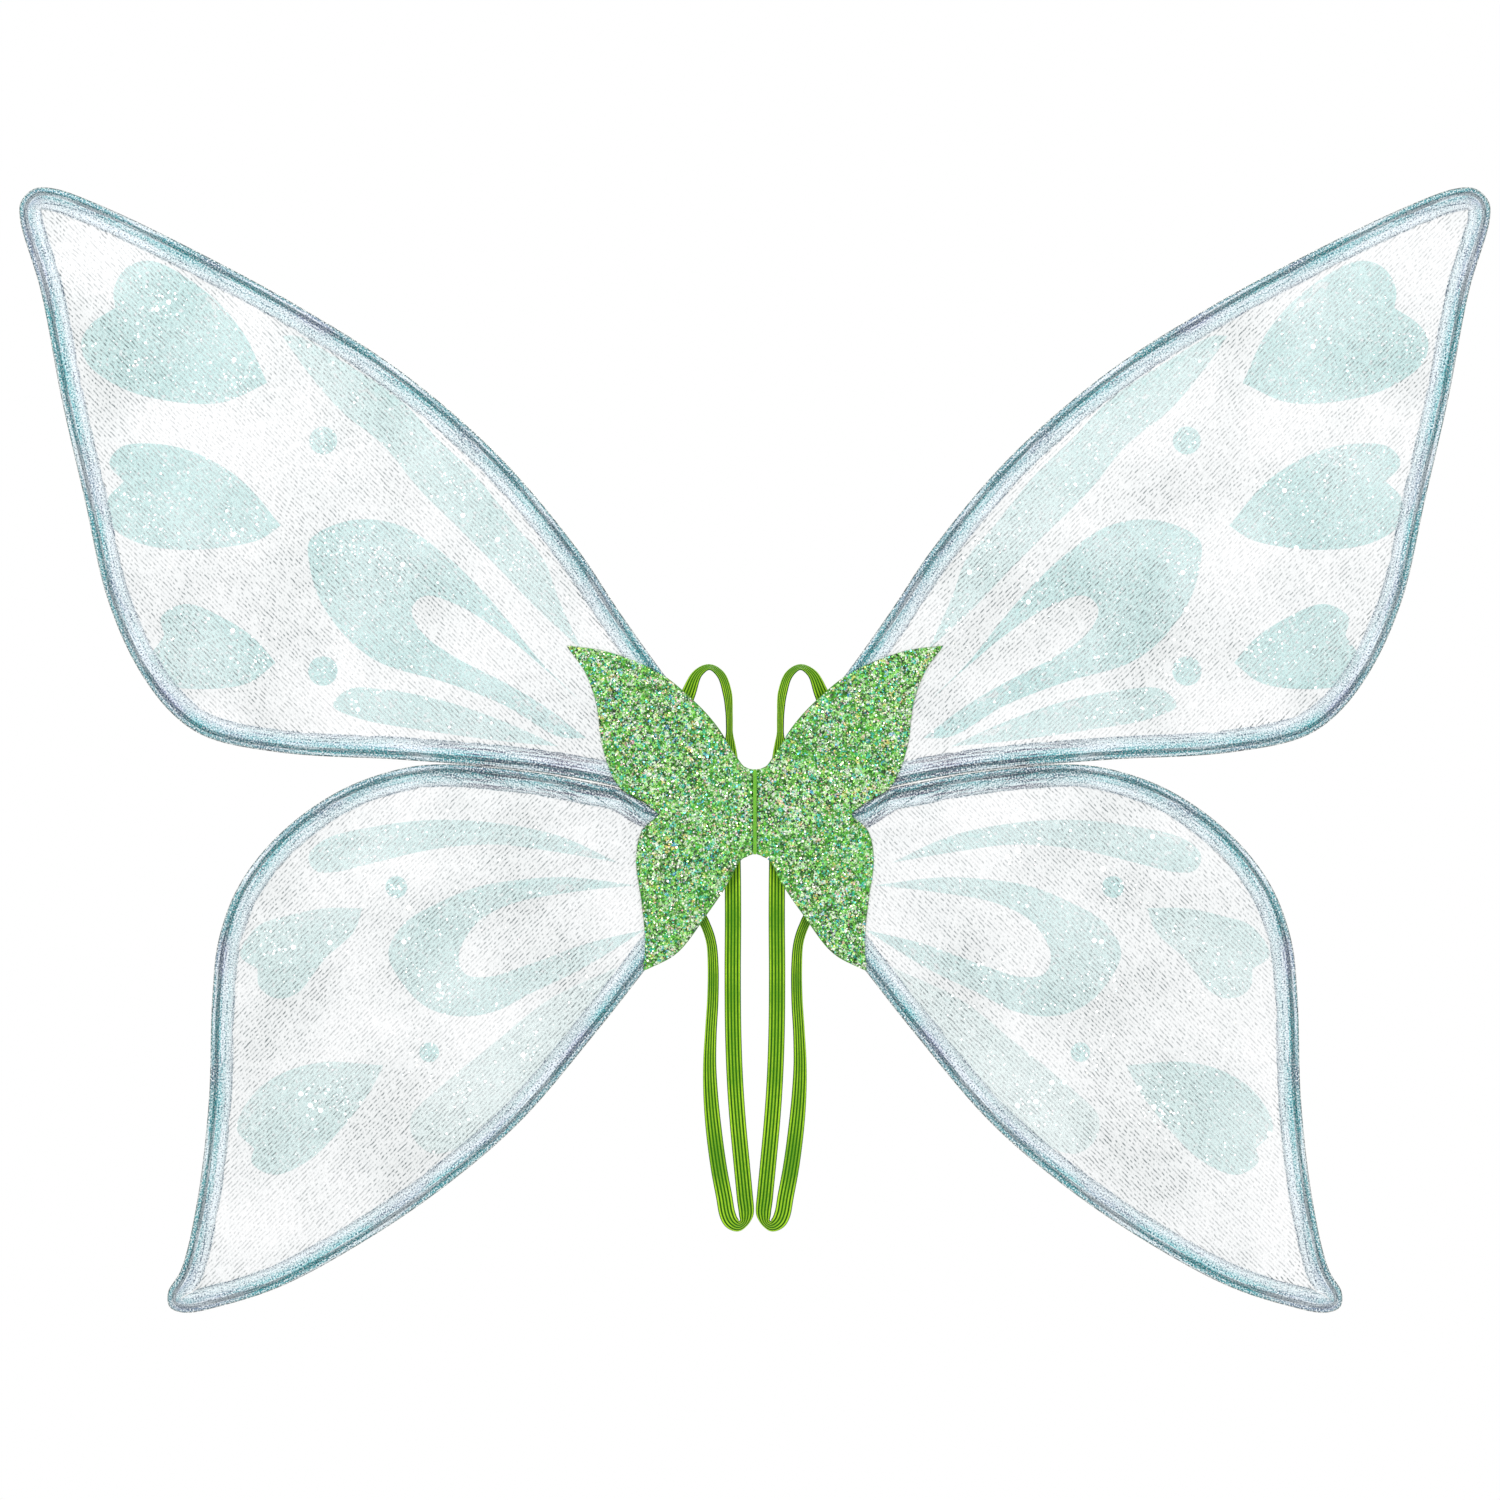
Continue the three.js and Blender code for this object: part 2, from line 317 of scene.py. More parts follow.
def make_object(name, vertices, faces, material, **attributes):
    """A smooth-shaded mesh object, with any values that its material reads at each point."""
    mesh = bpy.data.meshes.new(name)
    mesh.from_pydata([tuple(v) for v in vertices], [], [tuple(int(i) for i in f) for f in faces])
    mesh.polygons.foreach_set("use_smooth", [True] * len(mesh.polygons))
    mesh.materials.append(material)
    mesh.update()
    for key, values in attributes.items():
        layer = mesh.attributes.new(key, "FLOAT", "POINT")
        layer.data.foreach_set("value", np.asarray(values, np.float32))
    made = bpy.data.objects.new(name, mesh)
    bpy.context.collection.objects.link(made)
    return made


def face_outwards(made):
    """Turn every face of a closed mesh outwards."""
    work = bmesh.new()
    work.from_mesh(made.data)
    bmesh.ops.recalc_face_normals(work, faces=work.faces)
    work.to_mesh(made.data)
    work.free()


def settle(made, body, slot_name, *replaced):
    """Say which body the piece rides on and which nodes it replaces. What it is made of,
    slot_name, is not used.
    """
    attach(made, body)
    if replaced:
        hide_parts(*replaced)


def grid_faces(rows, columns, wrap=False, flip=False):
    faces = []
    for i in range(rows - 1):
        for j in range(columns if wrap else columns - 1):
            k = (j + 1) % columns
            corners = ((i, j), (i, k), (i + 1, k), (i + 1, j))
            quad = tuple(row * columns + column for row, column in corners)
            faces.append(quad[::-1] if flip else quad)
    return faces


def tube_faces(rings, sides):
    """The faces of a tube of rings, with a cap on each end. They still need face_outwards."""
    return [*grid_faces(rings, sides, wrap=True), range(sides),
            range((rings - 1) * sides, rings * sides)]


def make_shell(name, vertices, triangles, outer, inner, side, rim, material):
    """A closed shell: a triangle mesh at two depths, joined round its first rim points."""
    points = np.concatenate([place(vertices, outer, side), place(vertices, inner, side)])
    count = len(vertices)
    faces = triangles.tolist() + (triangles[:, ::-1] + count).tolist()
    for i in range(rim):
        k = (i + 1) % rim
        faces.append((i, i + count, k + count, k))
    made = make_object(name, points, faces, material)
    face_outwards(made)
    return made


def waves(rng, along, count, longest, shortest):
    """A smooth random curve between about -1 and 1, from a few sine waves."""
    total = np.zeros_like(along)
    for _ in range(count):
        length = math.exp(rng.uniform(math.log(shortest), math.log(longest)))
        total = total + np.sin(2 * math.pi * along / length + rng.uniform(0, 2 * math.pi))
    return total / math.sqrt(count)


# ---- materials ----

class Paint:
    """A Principled material whose colour, roughness, alpha and bump come from nodes."""

    def __init__(self, name, **constants):
        self.material = bpy.data.materials.new(name)
        self.material.use_nodes = True
        self.nodes = self.material.node_tree.nodes
        self.links = self.material.node_tree.links
        self.shader = self.nodes["Principled BSDF"]
        for socket, value in constants.items():
            self.shader.inputs[socket.replace("_", " ")].default_value = value
        coordinates = self.nodes.new("ShaderNodeTexCoord")
        self.place = coordinates.outputs["Object"]

    def node(self, kind, inputs, **settings):
        made = self.nodes.new(kind)
        for key, value in settings.items():
            setattr(made, key, value)
        for socket, value in inputs.items():
            target = made.inputs[socket]
            if isinstance(value, bpy.types.NodeSocket):
                self.links.new(value, target)
            else:
                target.default_value = (*value, 1) if target.type == "RGBA" else value
        return made

    def attribute(self, name):
        return self.node("ShaderNodeAttribute", {}, attribute_name=name).outputs["Fac"]

    def turned(self, angle, stretch=(1, 1, 1)):
        """The place in the wing's plane, turned about the depth axis and stretched."""
        turned = self.node("ShaderNodeMapping", {
            "Vector": self.place, "Rotation": (0, angle, 0), "Scale": stretch})
        return turned.outputs["Vector"]

    def together(self, x, y):
        return self.node("ShaderNodeCombineXYZ", {"X": x, "Y": y}).outputs["Vector"]

    def noise(self, scale, where=None, detail=2.0, roughness=0.5):
        return self.node("ShaderNodeTexNoise", {
            "Vector": where or self.place, "Scale": scale, "Detail": detail,
            "Roughness": roughness}).outputs["Fac"]

    def bands(self, pitch, where=None, distortion=0.0, detail_scale=1.0):
        """Stripes along the first axis, a pitch in metres apart."""
        return self.node("ShaderNodeTexWave", {
            "Vector": where or self.place, "Scale": 2 * math.pi / (20 * pitch),
            "Distortion": distortion, "Detail": 2.0, "Detail Scale": detail_scale},
            wave_type="BANDS", bands_direction="X", wave_profile="SIN").outputs["Fac"]

    def cells(self, scale):
        """A random value for each cell, the distance to its middle, and another value."""
        made = self.node("ShaderNodeTexVoronoi", {
            "Vector": self.place, "Scale": scale, "Randomness": 1.0})
        value = self.node("ShaderNodeSeparateColor", {"Color": made.outputs["Color"]})
        return value.outputs["Red"], made.outputs["Distance"], value.outputs["Green"]

    def ramp(self, fac, stops, interpolation="LINEAR"):
        made = self.node("ShaderNodeValToRGB", {"Fac": fac})
        made.color_ramp.interpolation = interpolation
        while len(made.color_ramp.elements) < len(stops):
            made.color_ramp.elements.new(1.0)
        for element, (position, color) in zip(made.color_ramp.elements, stops):
            element.position = position
            element.color = (*color, 1)
        return made.outputs["Color"]

    def scaled(self, value, low, high, from_low=0.0, from_high=1.0):
        """The value mapped to a new range, held inside it."""
        return self.node("ShaderNodeMapRange", {
            "Value": value, "From Min": from_low, "From Max": from_high, "To Min": low,
            "To Max": high}).outputs["Result"]

    def combine(self, operation, a, b):
        return self.node("ShaderNodeMath", {0: a, 1: b}, operation=operation).outputs["Value"]

    def times(self, a, b):
        return self.combine("MULTIPLY", a, b)

    def off(self, value, middle):
        """How far the value is from the middle, either way."""
        return self.combine("ABSOLUTE", self.combine("SUBTRACT", value, middle), 0.0)

    def mixed(self, fac, a, b):
        """One colour over another. The mix node's colours are inputs 6 and 7, and output 2."""
        made = self.node("ShaderNodeMix", {0: fac, 6: a, 7: b}, data_type="RGBA")
        return made.outputs[2]

    def bump(self, height, distance, strength, under=None):
        inputs = {"Height": height, "Distance": distance, "Strength": strength}
        if under:
            inputs["Normal"] = under
        return self.node("ShaderNodeBump", inputs).outputs["Normal"]

    def set(self, **sockets):
        for socket, value in sockets.items():
            self.links.new(value, self.shader.inputs[socket.replace("_", " ")])
        return self.material


RIB_GREY = (0.12, 0.15, 0.16)
RIB_PITCH = 0.0021


def rib_lines(paint, slant):
    """Fine woven ribs that run diagonally and break up into short dashes."""
    where = paint.turned(slant * math.pi / 4)
    lines = paint.bands(RIB_PITCH, where, distortion=2.2, detail_scale=1.2)
    dashes = paint.noise(680, paint.turned(slant * math.pi / 4, (1, 1, 0.4)), detail=2.0)
    return paint.times(paint.scaled(lines, 0, 1, 0.45, 0.9),
                       paint.scaled(dashes, 0, 1, 0.38, 0.62))


def make_membrane_material(slant):
    paint = Paint(f"sheer_membrane_{'rising' if slant > 0 else 'falling'}",
                  Specular_IOR_Level=0.5, Sheen_Weight=0.2, Sheen_Roughness=0.4)
    ribs = rib_lines(paint, slant)
    clouds = paint.noise(11, detail=4.0, roughness=0.6)
    # The shade attribute draws the ribs darker near the hem, in patches: painted shade beside the
    # casing.
    shade = paint.attribute("shade")
    faded = paint.times(ribs, paint.scaled(clouds, 1.0, 0.5, 0.36, 0.6))
    lines = paint.combine("MAXIMUM", faded, paint.times(ribs, shade))
    base = paint.ramp(clouds, [(0.34, (0.6, 0.64, 0.64)), (0.46, (0.72, 0.75, 0.755)),
                               (0.62, (0.84, 0.85, 0.855))])
    color = paint.mixed(lines, base, RIB_GREY)
    grain = paint.noise(1500, detail=1.0)
    alpha = paint.combine("ADD", paint.scaled(lines, 0.5, 0.95), paint.scaled(grain, -0.12, 0.12))
    normal = paint.bump(ribs, 0.0002, 0.6, paint.bump(grain, 0.0001, 0.3))
    return paint.set(Base_Color=color, Alpha=alpha, Normal=normal,
                     Roughness=paint.scaled(clouds, 0.3, 0.5))


def make_film_material(slant):
    paint = Paint(f"aqua_film_{'rising' if slant > 0 else 'falling'}",
                  Specular_IOR_Level=0.5, Coat_Weight=0.2, Coat_Roughness=0.2)
    ribs = rib_lines(paint, slant)
    clouds = paint.noise(16, detail=3.0)
    tint = paint.ramp(clouds, [(0.3, (0.42, 0.7, 0.68)), (0.5, (0.5, 0.77, 0.75)),
                               (0.68, (0.62, 0.85, 0.84))])
    value, _, tilt = paint.cells(700)
    # Each cell of the film takes its own tint; the white and pale pink cells are painted glints.
    glint = paint.ramp(value, [(0.0, (0.3, 0.55, 0.56)), (0.2, (0.48, 0.76, 0.75)),
                               (0.86, (0.64, 0.89, 0.88)), (0.93, (1, 1, 1)),
                               (0.97, (1, 0.82, 0.87))], "CONSTANT")
    color = paint.mixed(0.45, tint, glint)
    color = paint.mixed(paint.times(paint.attribute("fade"), 0.7), color, (0.8, 0.88, 0.87))
    color = paint.mixed(paint.scaled(ribs, 0, 0.6), color, (0.12, 0.26, 0.27))
    alpha = paint.combine("ADD", paint.scaled(ribs, 0.44, 0.2), paint.scaled(clouds, 0.12, -0.2))
    return paint.set(Base_Color=color, Alpha=alpha,
                     Roughness=paint.scaled(value, 0.2, 0.5),
                     Normal=paint.bump(tilt, 0.0003, 0.5, paint.bump(ribs, 0.0002, 0.5)))


# Dark colours of the strip: the first is painted shade in its creases and also darkens its edge
# and hem lines and its specks; the second and third are painted shade in its tucks and where the
# two wings' strips meet; the last darkens its outer edge.
DARK_FOLD = (0.03, 0.07, 0.1)
TEAL_TUCK_SHADOW = (0.015, 0.16, 0.18)
JUNCTION_SHADE_COLOR = (0.05, 0.05, 0.09)
OUTER_FOLD = (0.03, 0.22, 0.25)


def make_casing_material():
    paint = Paint("edge_organza", Specular_IOR_Level=0.6, Sheen_Weight=0.3,
                  Sheen_Roughness=0.3, Thin_Film_Thickness=300.0, Thin_Film_IOR=1.4)
    along, across = paint.attribute("along"), paint.attribute("across")
    gather = paint.attribute("gather")
    strip = paint.together(along, across)
    long_way = paint.together(paint.times(along, 0.05), across)
    patches = paint.noise(17, paint.together(along, paint.times(across, 3.0)), 3.0)
    color = paint.ramp(patches, [(0.36, (0.31, 0.38, 0.54)), (0.43, (0.22, 0.43, 0.49)),
                                 (0.49, (0.12, 0.48, 0.51)), (0.56, (0.015, 0.5, 0.52))])
    color = paint.mixed(paint.times(gather, 0.7), color, (0.12, 0.55, 0.55))
    pale = paint.scaled(across, 0, 0.85, 0.005, 0.0105)
    color = paint.mixed(pale, color, (0.73, 0.86, 0.87))
    outer = paint.scaled(across, 0.55, 0, 0.001, 0.0045)
    color = paint.mixed(outer, color, OUTER_FOLD)
    lines = paint.noise(950, long_way, detail=2.0)
    folds = paint.noise(330, long_way, detail=1.0)
    # Dark lengthwise lines: painted shade in the creases, where the strip is also more opaque.
    color = paint.mixed(paint.scaled(lines, 0.9, 0, 0.33, 0.42), color, DARK_FOLD)
    # Pale streaks along the folds' ridges: painted highlights.
    color = paint.mixed(paint.scaled(folds, 0, 0.75, 0.52, 0.62), color, (0.86, 0.96, 1.0))
    # Slanting dark teal lines where the strip is bunched: painted shadow in its tucks.
    slanted = paint.together(paint.combine("ADD", along, paint.times(across, 2.2)),
                             paint.times(across, 0.5))
    tuck_shadows = paint.scaled(paint.noise(260, slanted, detail=2.0), 1, 0, 0.38, 0.48)
    color = paint.mixed(paint.times(tuck_shadows, gather), color, TEAL_TUCK_SHADOW)
    # Dark lines along the wings' facing edges beside the cover: painted shade where the two strips
    # meet.
    pleats = paint.scaled(paint.noise(560, long_way, detail=1.0), 0.85, 0, 0.41, 0.5)
    color = paint.mixed(paint.times(pleats, paint.attribute("pleats")), color, JUNCTION_SHADE_COLOR)
    rim = paint.scaled(across, 0.8, 0, 0.0003, 0.0009)
    hem = paint.scaled(paint.off(across, HEM_LINE * MM), 0.65, 0, 0.0002, 0.0006)
    color = paint.mixed(paint.combine("MAXIMUM", rim, hem), color, DARK_FOLD)
    speck = paint.noise(1000, strip, detail=2.0, roughness=0.7)
    color = paint.mixed(paint.scaled(speck, 0, 0.95, 0.52, 0.58), color, (0.92, 1.0, 1.0))
    color = paint.mixed(paint.scaled(speck, 0.9, 0, 0.39, 0.46), color, DARK_FOLD)
    thick = paint.scaled(paint.off(across, WIRE_INSET * MM), 0.35, 0.75, 0.0009, 0.0018)
    thick = paint.combine("SUBTRACT", thick, paint.scaled(across, 0, 0.22, 0.006, 0.012))
    alpha = paint.combine("ADD", thick, paint.scaled(lines, 0.25, -0.05, 0.35, 0.55))
    weave = paint.bands(0.0008, strip)
    normal = paint.bump(weave, 0.00012, 0.4, paint.bump(folds, 0.0008, 0.9))
    return paint.set(Base_Color=color, Alpha=alpha, Normal=normal,
                     Roughness=paint.scaled(speck, 0.25, 0.5))


GLITTER_STOPS = [
    (0.0, (0.002, 0.02, 0.001)), (0.19, (0.01, 0.1, 0.003)), (0.3, (0.06, 0.32, 0.012)),
    (0.44, (0.16, 0.64, 0.05)), (0.56, (0.42, 0.92, 0.22)), (0.69, (0.85, 1.0, 0.72)),
    (0.82, (0.05, 0.66, 0.52)), (0.88, (1.0, 0.78, 0.25)), (0.905, (1.0, 0.5, 0.5)),
    (0.925, (0.08, 0.4, 0.75)), (0.94, (1, 1, 0.97)),
]


def make_glitter_material():
    paint = Paint("glitter_felt", Metallic=0.2, Specular_IOR_Level=0.4)
    value, edge, tilt = paint.cells(430)
    small, _, _ = paint.cells(900)
    color = paint.mixed(0.4, paint.ramp(value, GLITTER_STOPS, "CONSTANT"),
                        paint.ramp(small, GLITTER_STOPS, "CONSTANT"))
    worms = paint.noise(380, detail=2.0)
    dark = paint.scaled(paint.off(worms, 0.5), 0.9, 0, 0.012, 0.035)
    color = paint.mixed(dark, color, (0.008, 0.09, 0.003))
    clouds = paint.noise(40, detail=2.0)
    color = paint.mixed(paint.scaled(clouds, 0.35, 0, 0.38, 0.55), color, (0.04, 0.42, 0.01))
    height = paint.combine("SUBTRACT", paint.scaled(tilt, 0, 1), edge)
    return paint.set(Base_Color=color, Roughness=paint.scaled(small, 0.25, 0.6),
                     Normal=paint.bump(height, 0.0004, 0.8))


def make_flake_material():
    paint = Paint("glitter_flakes", Metallic=0.7)
    shade = paint.attribute("shade")
    grain = paint.noise(2500, detail=1.0)
    color = paint.mixed(paint.scaled(grain, 0, 0.1), paint.ramp(shade, GLITTER_STOPS, "CONSTANT"),
                        (1, 1, 1))
    return paint.set(Base_Color=color, Roughness=paint.scaled(grain, 0.15, 0.35))


# Small white and pink discs that glow a little: painted glints.
def make_glint_disc_material():
    paint = Paint("sparkle_sequins", Metallic=0.2, Thin_Film_Thickness=450.0,
                  Thin_Film_IOR=1.5, Emission_Strength=0.5)
    shade = paint.attribute("shade")
    color = paint.ramp(shade, [(0.0, (1, 1, 1)), (0.62, (1, 0.86, 0.9)), (0.78, (0.8, 0.97, 1)),
                               (0.9, (0.98, 0.95, 0.85))], "CONSTANT")
    grain = paint.noise(3000, detail=1.0)
    return paint.set(Base_Color=color, Emission_Color=color,
                     Roughness=paint.scaled(grain, 0.1, 0.3))


def make_felt_material(name, light, dark):
    paint = Paint(name, Specular_IOR_Level=0.15, Sheen_Weight=0.3, Sheen_Roughness=0.6)
    fuzz = paint.noise(1900, detail=4.0, roughness=0.75)
    clouds = paint.noise(70, detail=2.0)
    strands = paint.noise(1300, paint.turned(0.8, (1, 1, 0.3)), detail=2.0)
    crossed = paint.noise(1300, paint.turned(-0.7, (0.3, 1, 1)), detail=2.0)
    fibres = paint.combine("MAXIMUM", strands, crossed)
    tone = paint.times(fibres, paint.scaled(clouds, 0.75, 1.2))
    color = paint.ramp(paint.times(tone, paint.scaled(fuzz, 0.6, 1.35, 0.3, 0.7)),
                       [(0.22, dark), (0.72, light)])
    height = paint.combine("ADD", fuzz, fibres)
    return paint.set(Base_Color=color, Roughness=paint.scaled(fuzz, 0.8, 0.98),
                     Normal=paint.bump(height, 0.0005, 0.9))


def make_elastic_material():
    paint = Paint("ribbed_elastic", Specular_IOR_Level=0.15)
    along, across, rib = (paint.attribute(name) for name in ("along", "across", "rib"))
    strip = paint.together(along, across)
    weave = paint.bands(0.0009, strip, distortion=0.4)
    mottle = paint.noise(320, strip, detail=2.0)
    # Dark in the grooves between the ribs and bright on their tops: painted shade and painted
    # highlight.
    color = paint.ramp(rib, [(0.0, (0.0, 0.006, 0.0)), (0.4, (0.003, 0.045, 0.0)),
                             (0.58, (0.05, 0.22, 0.0)), (0.78, (0.24, 0.49, 0.002)),
                             (1.0, (0.45, 0.73, 0.04))])
    # Darker across the middle of the width than at the edges: painted shade, as on a cupped
    # ribbon.
    middle = paint.scaled(paint.combine("ABSOLUTE", across, 0.0), 0.35, 0, 0.0006, 0.0034)
    color = paint.mixed(middle, color, (0.035, 0.2, 0.0))
    # Darker stretches along the strap: painted changes of shade and sheen.
    tone = paint.noise(26, paint.together(along, 0.0), detail=1.0)
    color = paint.mixed(paint.scaled(tone, 0.5, 0, 0.36, 0.56), color, (0.02, 0.16, 0.0))
    color = paint.mixed(paint.scaled(mottle, 0.25, 0, 0.35, 0.55), color, (0.03, 0.2, 0.0))
    normal = paint.bump(weave, 0.00025, 0.5, paint.bump(mottle, 0.0002, 0.3))
    return paint.set(Base_Color=color, Roughness=paint.scaled(weave, 0.45, 0.75), Normal=normal)


def make_wire_material():
    paint = Paint("galvanised_wire", Metallic=0.85)
    scuffs = paint.noise(420, detail=4.0, roughness=0.7)
    color = paint.ramp(scuffs, [(0.35, (0.03, 0.05, 0.06)), (0.6, (0.09, 0.13, 0.15)),
                                (0.8, (0.25, 0.3, 0.32))])
    return paint.set(Base_Color=color, Roughness=paint.scaled(scuffs, 0.3, 0.6),
                     Normal=paint.bump(scuffs, 0.0001, 0.4))


def make_clip_material():
    paint = Paint("crimped_aluminium", Metallic=1.0)
    brushed = paint.noise(500, paint.turned(0, (0.1, 1, 1)), detail=3.0)
    color = paint.ramp(brushed, [(0.3, (0.42, 0.43, 0.45)), (0.7, (0.68, 0.69, 0.7))])
    return paint.set(Base_Color=color, Roughness=paint.scaled(brushed, 0.25, 0.5),
                     Normal=paint.bump(brushed, 0.00008, 0.5))


def make_thread_material(name, light, dark):
    paint = Paint(name, Specular_IOR_Level=0.4, Sheen_Weight=0.3)
    twist = paint.bands(0.0005, paint.turned(0.8), distortion=1.0)
    return paint.set(Base_Color=paint.ramp(twist, [(0.2, dark), (0.7, light)]),
                     Roughness=paint.scaled(twist, 0.4, 0.7),
                     Normal=paint.bump(twist, 0.00006, 0.6))


def make_floor_material():
    paint = Paint("pale_floor", Specular_IOR_Level=0.2)
    grain = paint.noise(30, detail=2.0)
    color = paint.ramp(grain, [(0.3, (0.9, 0.9, 0.9)), (0.7, (0.92, 0.92, 0.92))])
    return paint.set(Base_Color=color, Roughness=paint.scaled(grain, 0.7, 0.8))


# The ribs rise to the right on one diagonal of wings and fall on the other.
RIB_SLANT = {("upper", "left"): 1, ("upper", "right"): -1,
             ("lower", "left"): -1, ("lower", "right"): 1}
membrane_materials = {slant: make_membrane_material(slant) for slant in (1, -1)}
film_materials = {slant: make_film_material(slant) for slant in (1, -1)}
casing_material = make_casing_material()
glitter_material = make_glitter_material()
flake_material = make_flake_material()
glint_disc_material = make_glint_disc_material()
backing_material = make_felt_material("backing_felt", (0.15, 0.42, 0.04), (0.05, 0.2, 0.012))
pad_material = make_felt_material("pad_felt", (0.12, 0.37, 0.025), (0.035, 0.17, 0.006))
elastic_material = make_elastic_material()
wire_material = make_wire_material()
clip_material = make_clip_material()
pale_thread = make_thread_material("pale_thread", (0.8, 0.84, 0.88), (0.45, 0.5, 0.56))
green_thread = make_thread_material("green_thread", (0.4, 0.75, 0.12), (0.14, 0.4, 0.03))
welt_material = make_felt_material("crease_felt", (0.2, 0.55, 0.03), (0.06, 0.32, 0.01))
floor_material = make_floor_material()


# ---- camera, floor and light ----

def aim(thing, target):
    direction = np.array(target) - np.array(thing.location)
    yaw = math.atan2(direction[0], direction[1])
    pitch = math.atan2(direction[2], math.hypot(direction[0], direction[1]))
    thing.rotation_euler = (math.pi / 2 + pitch, 0, -yaw)


# The photo has the wings a little right of the middle.
VIEW_SHIFT = -0.003


def make_camera():
    lens, sensor = 85.0, 36.0
    seen_width = 0.9175
    low, high = cad_box
    middle = (VIEW_SHIFT, MID_Y * MM, (low[2] + high[2]) / 2)
    camera = bpy.data.objects.new("camera", bpy.data.cameras.new("camera"))
    camera.data.lens = lens
    camera.data.sensor_width = sensor
    camera.location = (middle[0], middle[1] - seen_width * lens / sensor, middle[2])
    aim(camera, middle)
    bpy.context.collection.objects.link(camera)
    bpy.context.scene.camera = camera


def add_light(name, location, target, size, power):
    light = bpy.data.lights.new(name, "AREA")
    light.shape = "DISK"
    light.size = size
    light.energy = power
    made = bpy.data.objects.new(name, light)
    made.location = location
    aim(made, target)
    made.visible_camera = False
    bpy.context.collection.objects.link(made)


# How bright the white surroundings are as light; the camera sees them as plain white.
AMBIENT = 0.85
# The floor is a disc well below the wings.
FLOOR_RADIUS = 0.78
FLOOR_HEIGHT = -0.62
FLOOR_SIDES = 96


def make_studio():
    world = bpy.data.worlds.new("studio")
    world.use_nodes = True
    nodes = world.node_tree.nodes
    seen = nodes.new("ShaderNodeLightPath").outputs["Is Camera Ray"]
    strength = nodes.new("ShaderNodeMapRange")
    strength.inputs["To Min"].default_value = AMBIENT
    world.node_tree.links.new(seen, strength.inputs["Value"])
    world.node_tree.links.new(strength.outputs["Result"], nodes["Background"].inputs["Strength"])
    nodes["Background"].inputs["Color"].default_value = (1, 1, 1, 1)
    bpy.context.scene.world = world
    bpy.context.scene.view_settings.view_transform = "Standard"
    middle = (0, 0, 0.03)
    add_light("key", (-0.8, -1.5, 1.5), middle, 0.6, 20)
    add_light("fill", (1.5, -1.5, 0.3), middle, 1.0, 7)
    add_light("back", (0.2, 1.7, 1.0), middle, 0.8, 16)
    angle = 2 * math.pi * np.arange(FLOOR_SIDES) / FLOOR_SIDES
    ring = np.stack([FLOOR_RADIUS * np.cos(angle), FLOOR_RADIUS * np.sin(angle),
                     np.full(FLOOR_SIDES, FLOOR_HEIGHT)], axis=1)
    make_object("floor", ring, [range(FLOOR_SIDES)], floor_material)


# ---- arm loops ----

# How far the ribbon is turned edge-on, in degrees, at some of the route's points.
STRAP_TURNS = {
    0: 0, 1: 4, 2: 34, 3: 68, 4: 66, 5: 56, 6: 60, 7: 72, 8: 54, 9: 26, 10: 8, 12: 0, 15: 10,
    16: 36, 17: 52, 18: 52, 19: 48, 20: 46, 21: 44, 22: 36, 23: 24, 24: 10, 25: 2, 26: 0, 27: 4,
    28: 18, 29: 38, 30: 60, 31: 24, 32: 0, 41: 0,
}
# How far the ribbon stands forward of its own plane at some of the points, in mm.
STRAP_BULGES = {0: 0, 25: 0, 27: 2.2, 28: 3.0, 29: 2.8, 30: 0.8, 31: -1.4, 32: -2.0, 34: 0, 41: 0}
KNOT_SPANS = 12
STRAP_RIBS = 5
# The ribbon turns sharply below this height, in mm, and gets closer rings there.
STRAP_TIGHT_BELOW = -238
# Rings are worked out this far apart in mm, and outside the turn one in so many is kept.
STRAP_FINE, STRAP_STEP = 0.4, 4
# How many of those rings the ribbon's turn and its bulge are each averaged over.
TURN_REACH, BULGE_REACH = 19, 27


def strap_section():
    """The ribbon's outline across its width: height over the middle plane for each side."""
    steps = 8 * STRAP_RIBS
    across = np.linspace(-1, 1, steps + 1)
    rib = np.abs(np.cos(across * STRAP_RIBS * math.pi / 2 + math.pi / 2 * (STRAP_RIBS + 1)))
    edge = np.sqrt(np.clip(1 - across**12, 0, 1))
    height = STRAP_THICK / 2 * (0.55 + 0.45 * rib) * edge
    top = np.stack([across * STRAP_WIDTH / 2, height], axis=1)
    bottom = np.stack([across[::-1] * STRAP_WIDTH / 2, -height[::-1]], axis=1)[1:-1]
    ribs = np.concatenate([rib, rib[::-1][1:-1]])
    return np.concatenate([top, bottom]), ribs


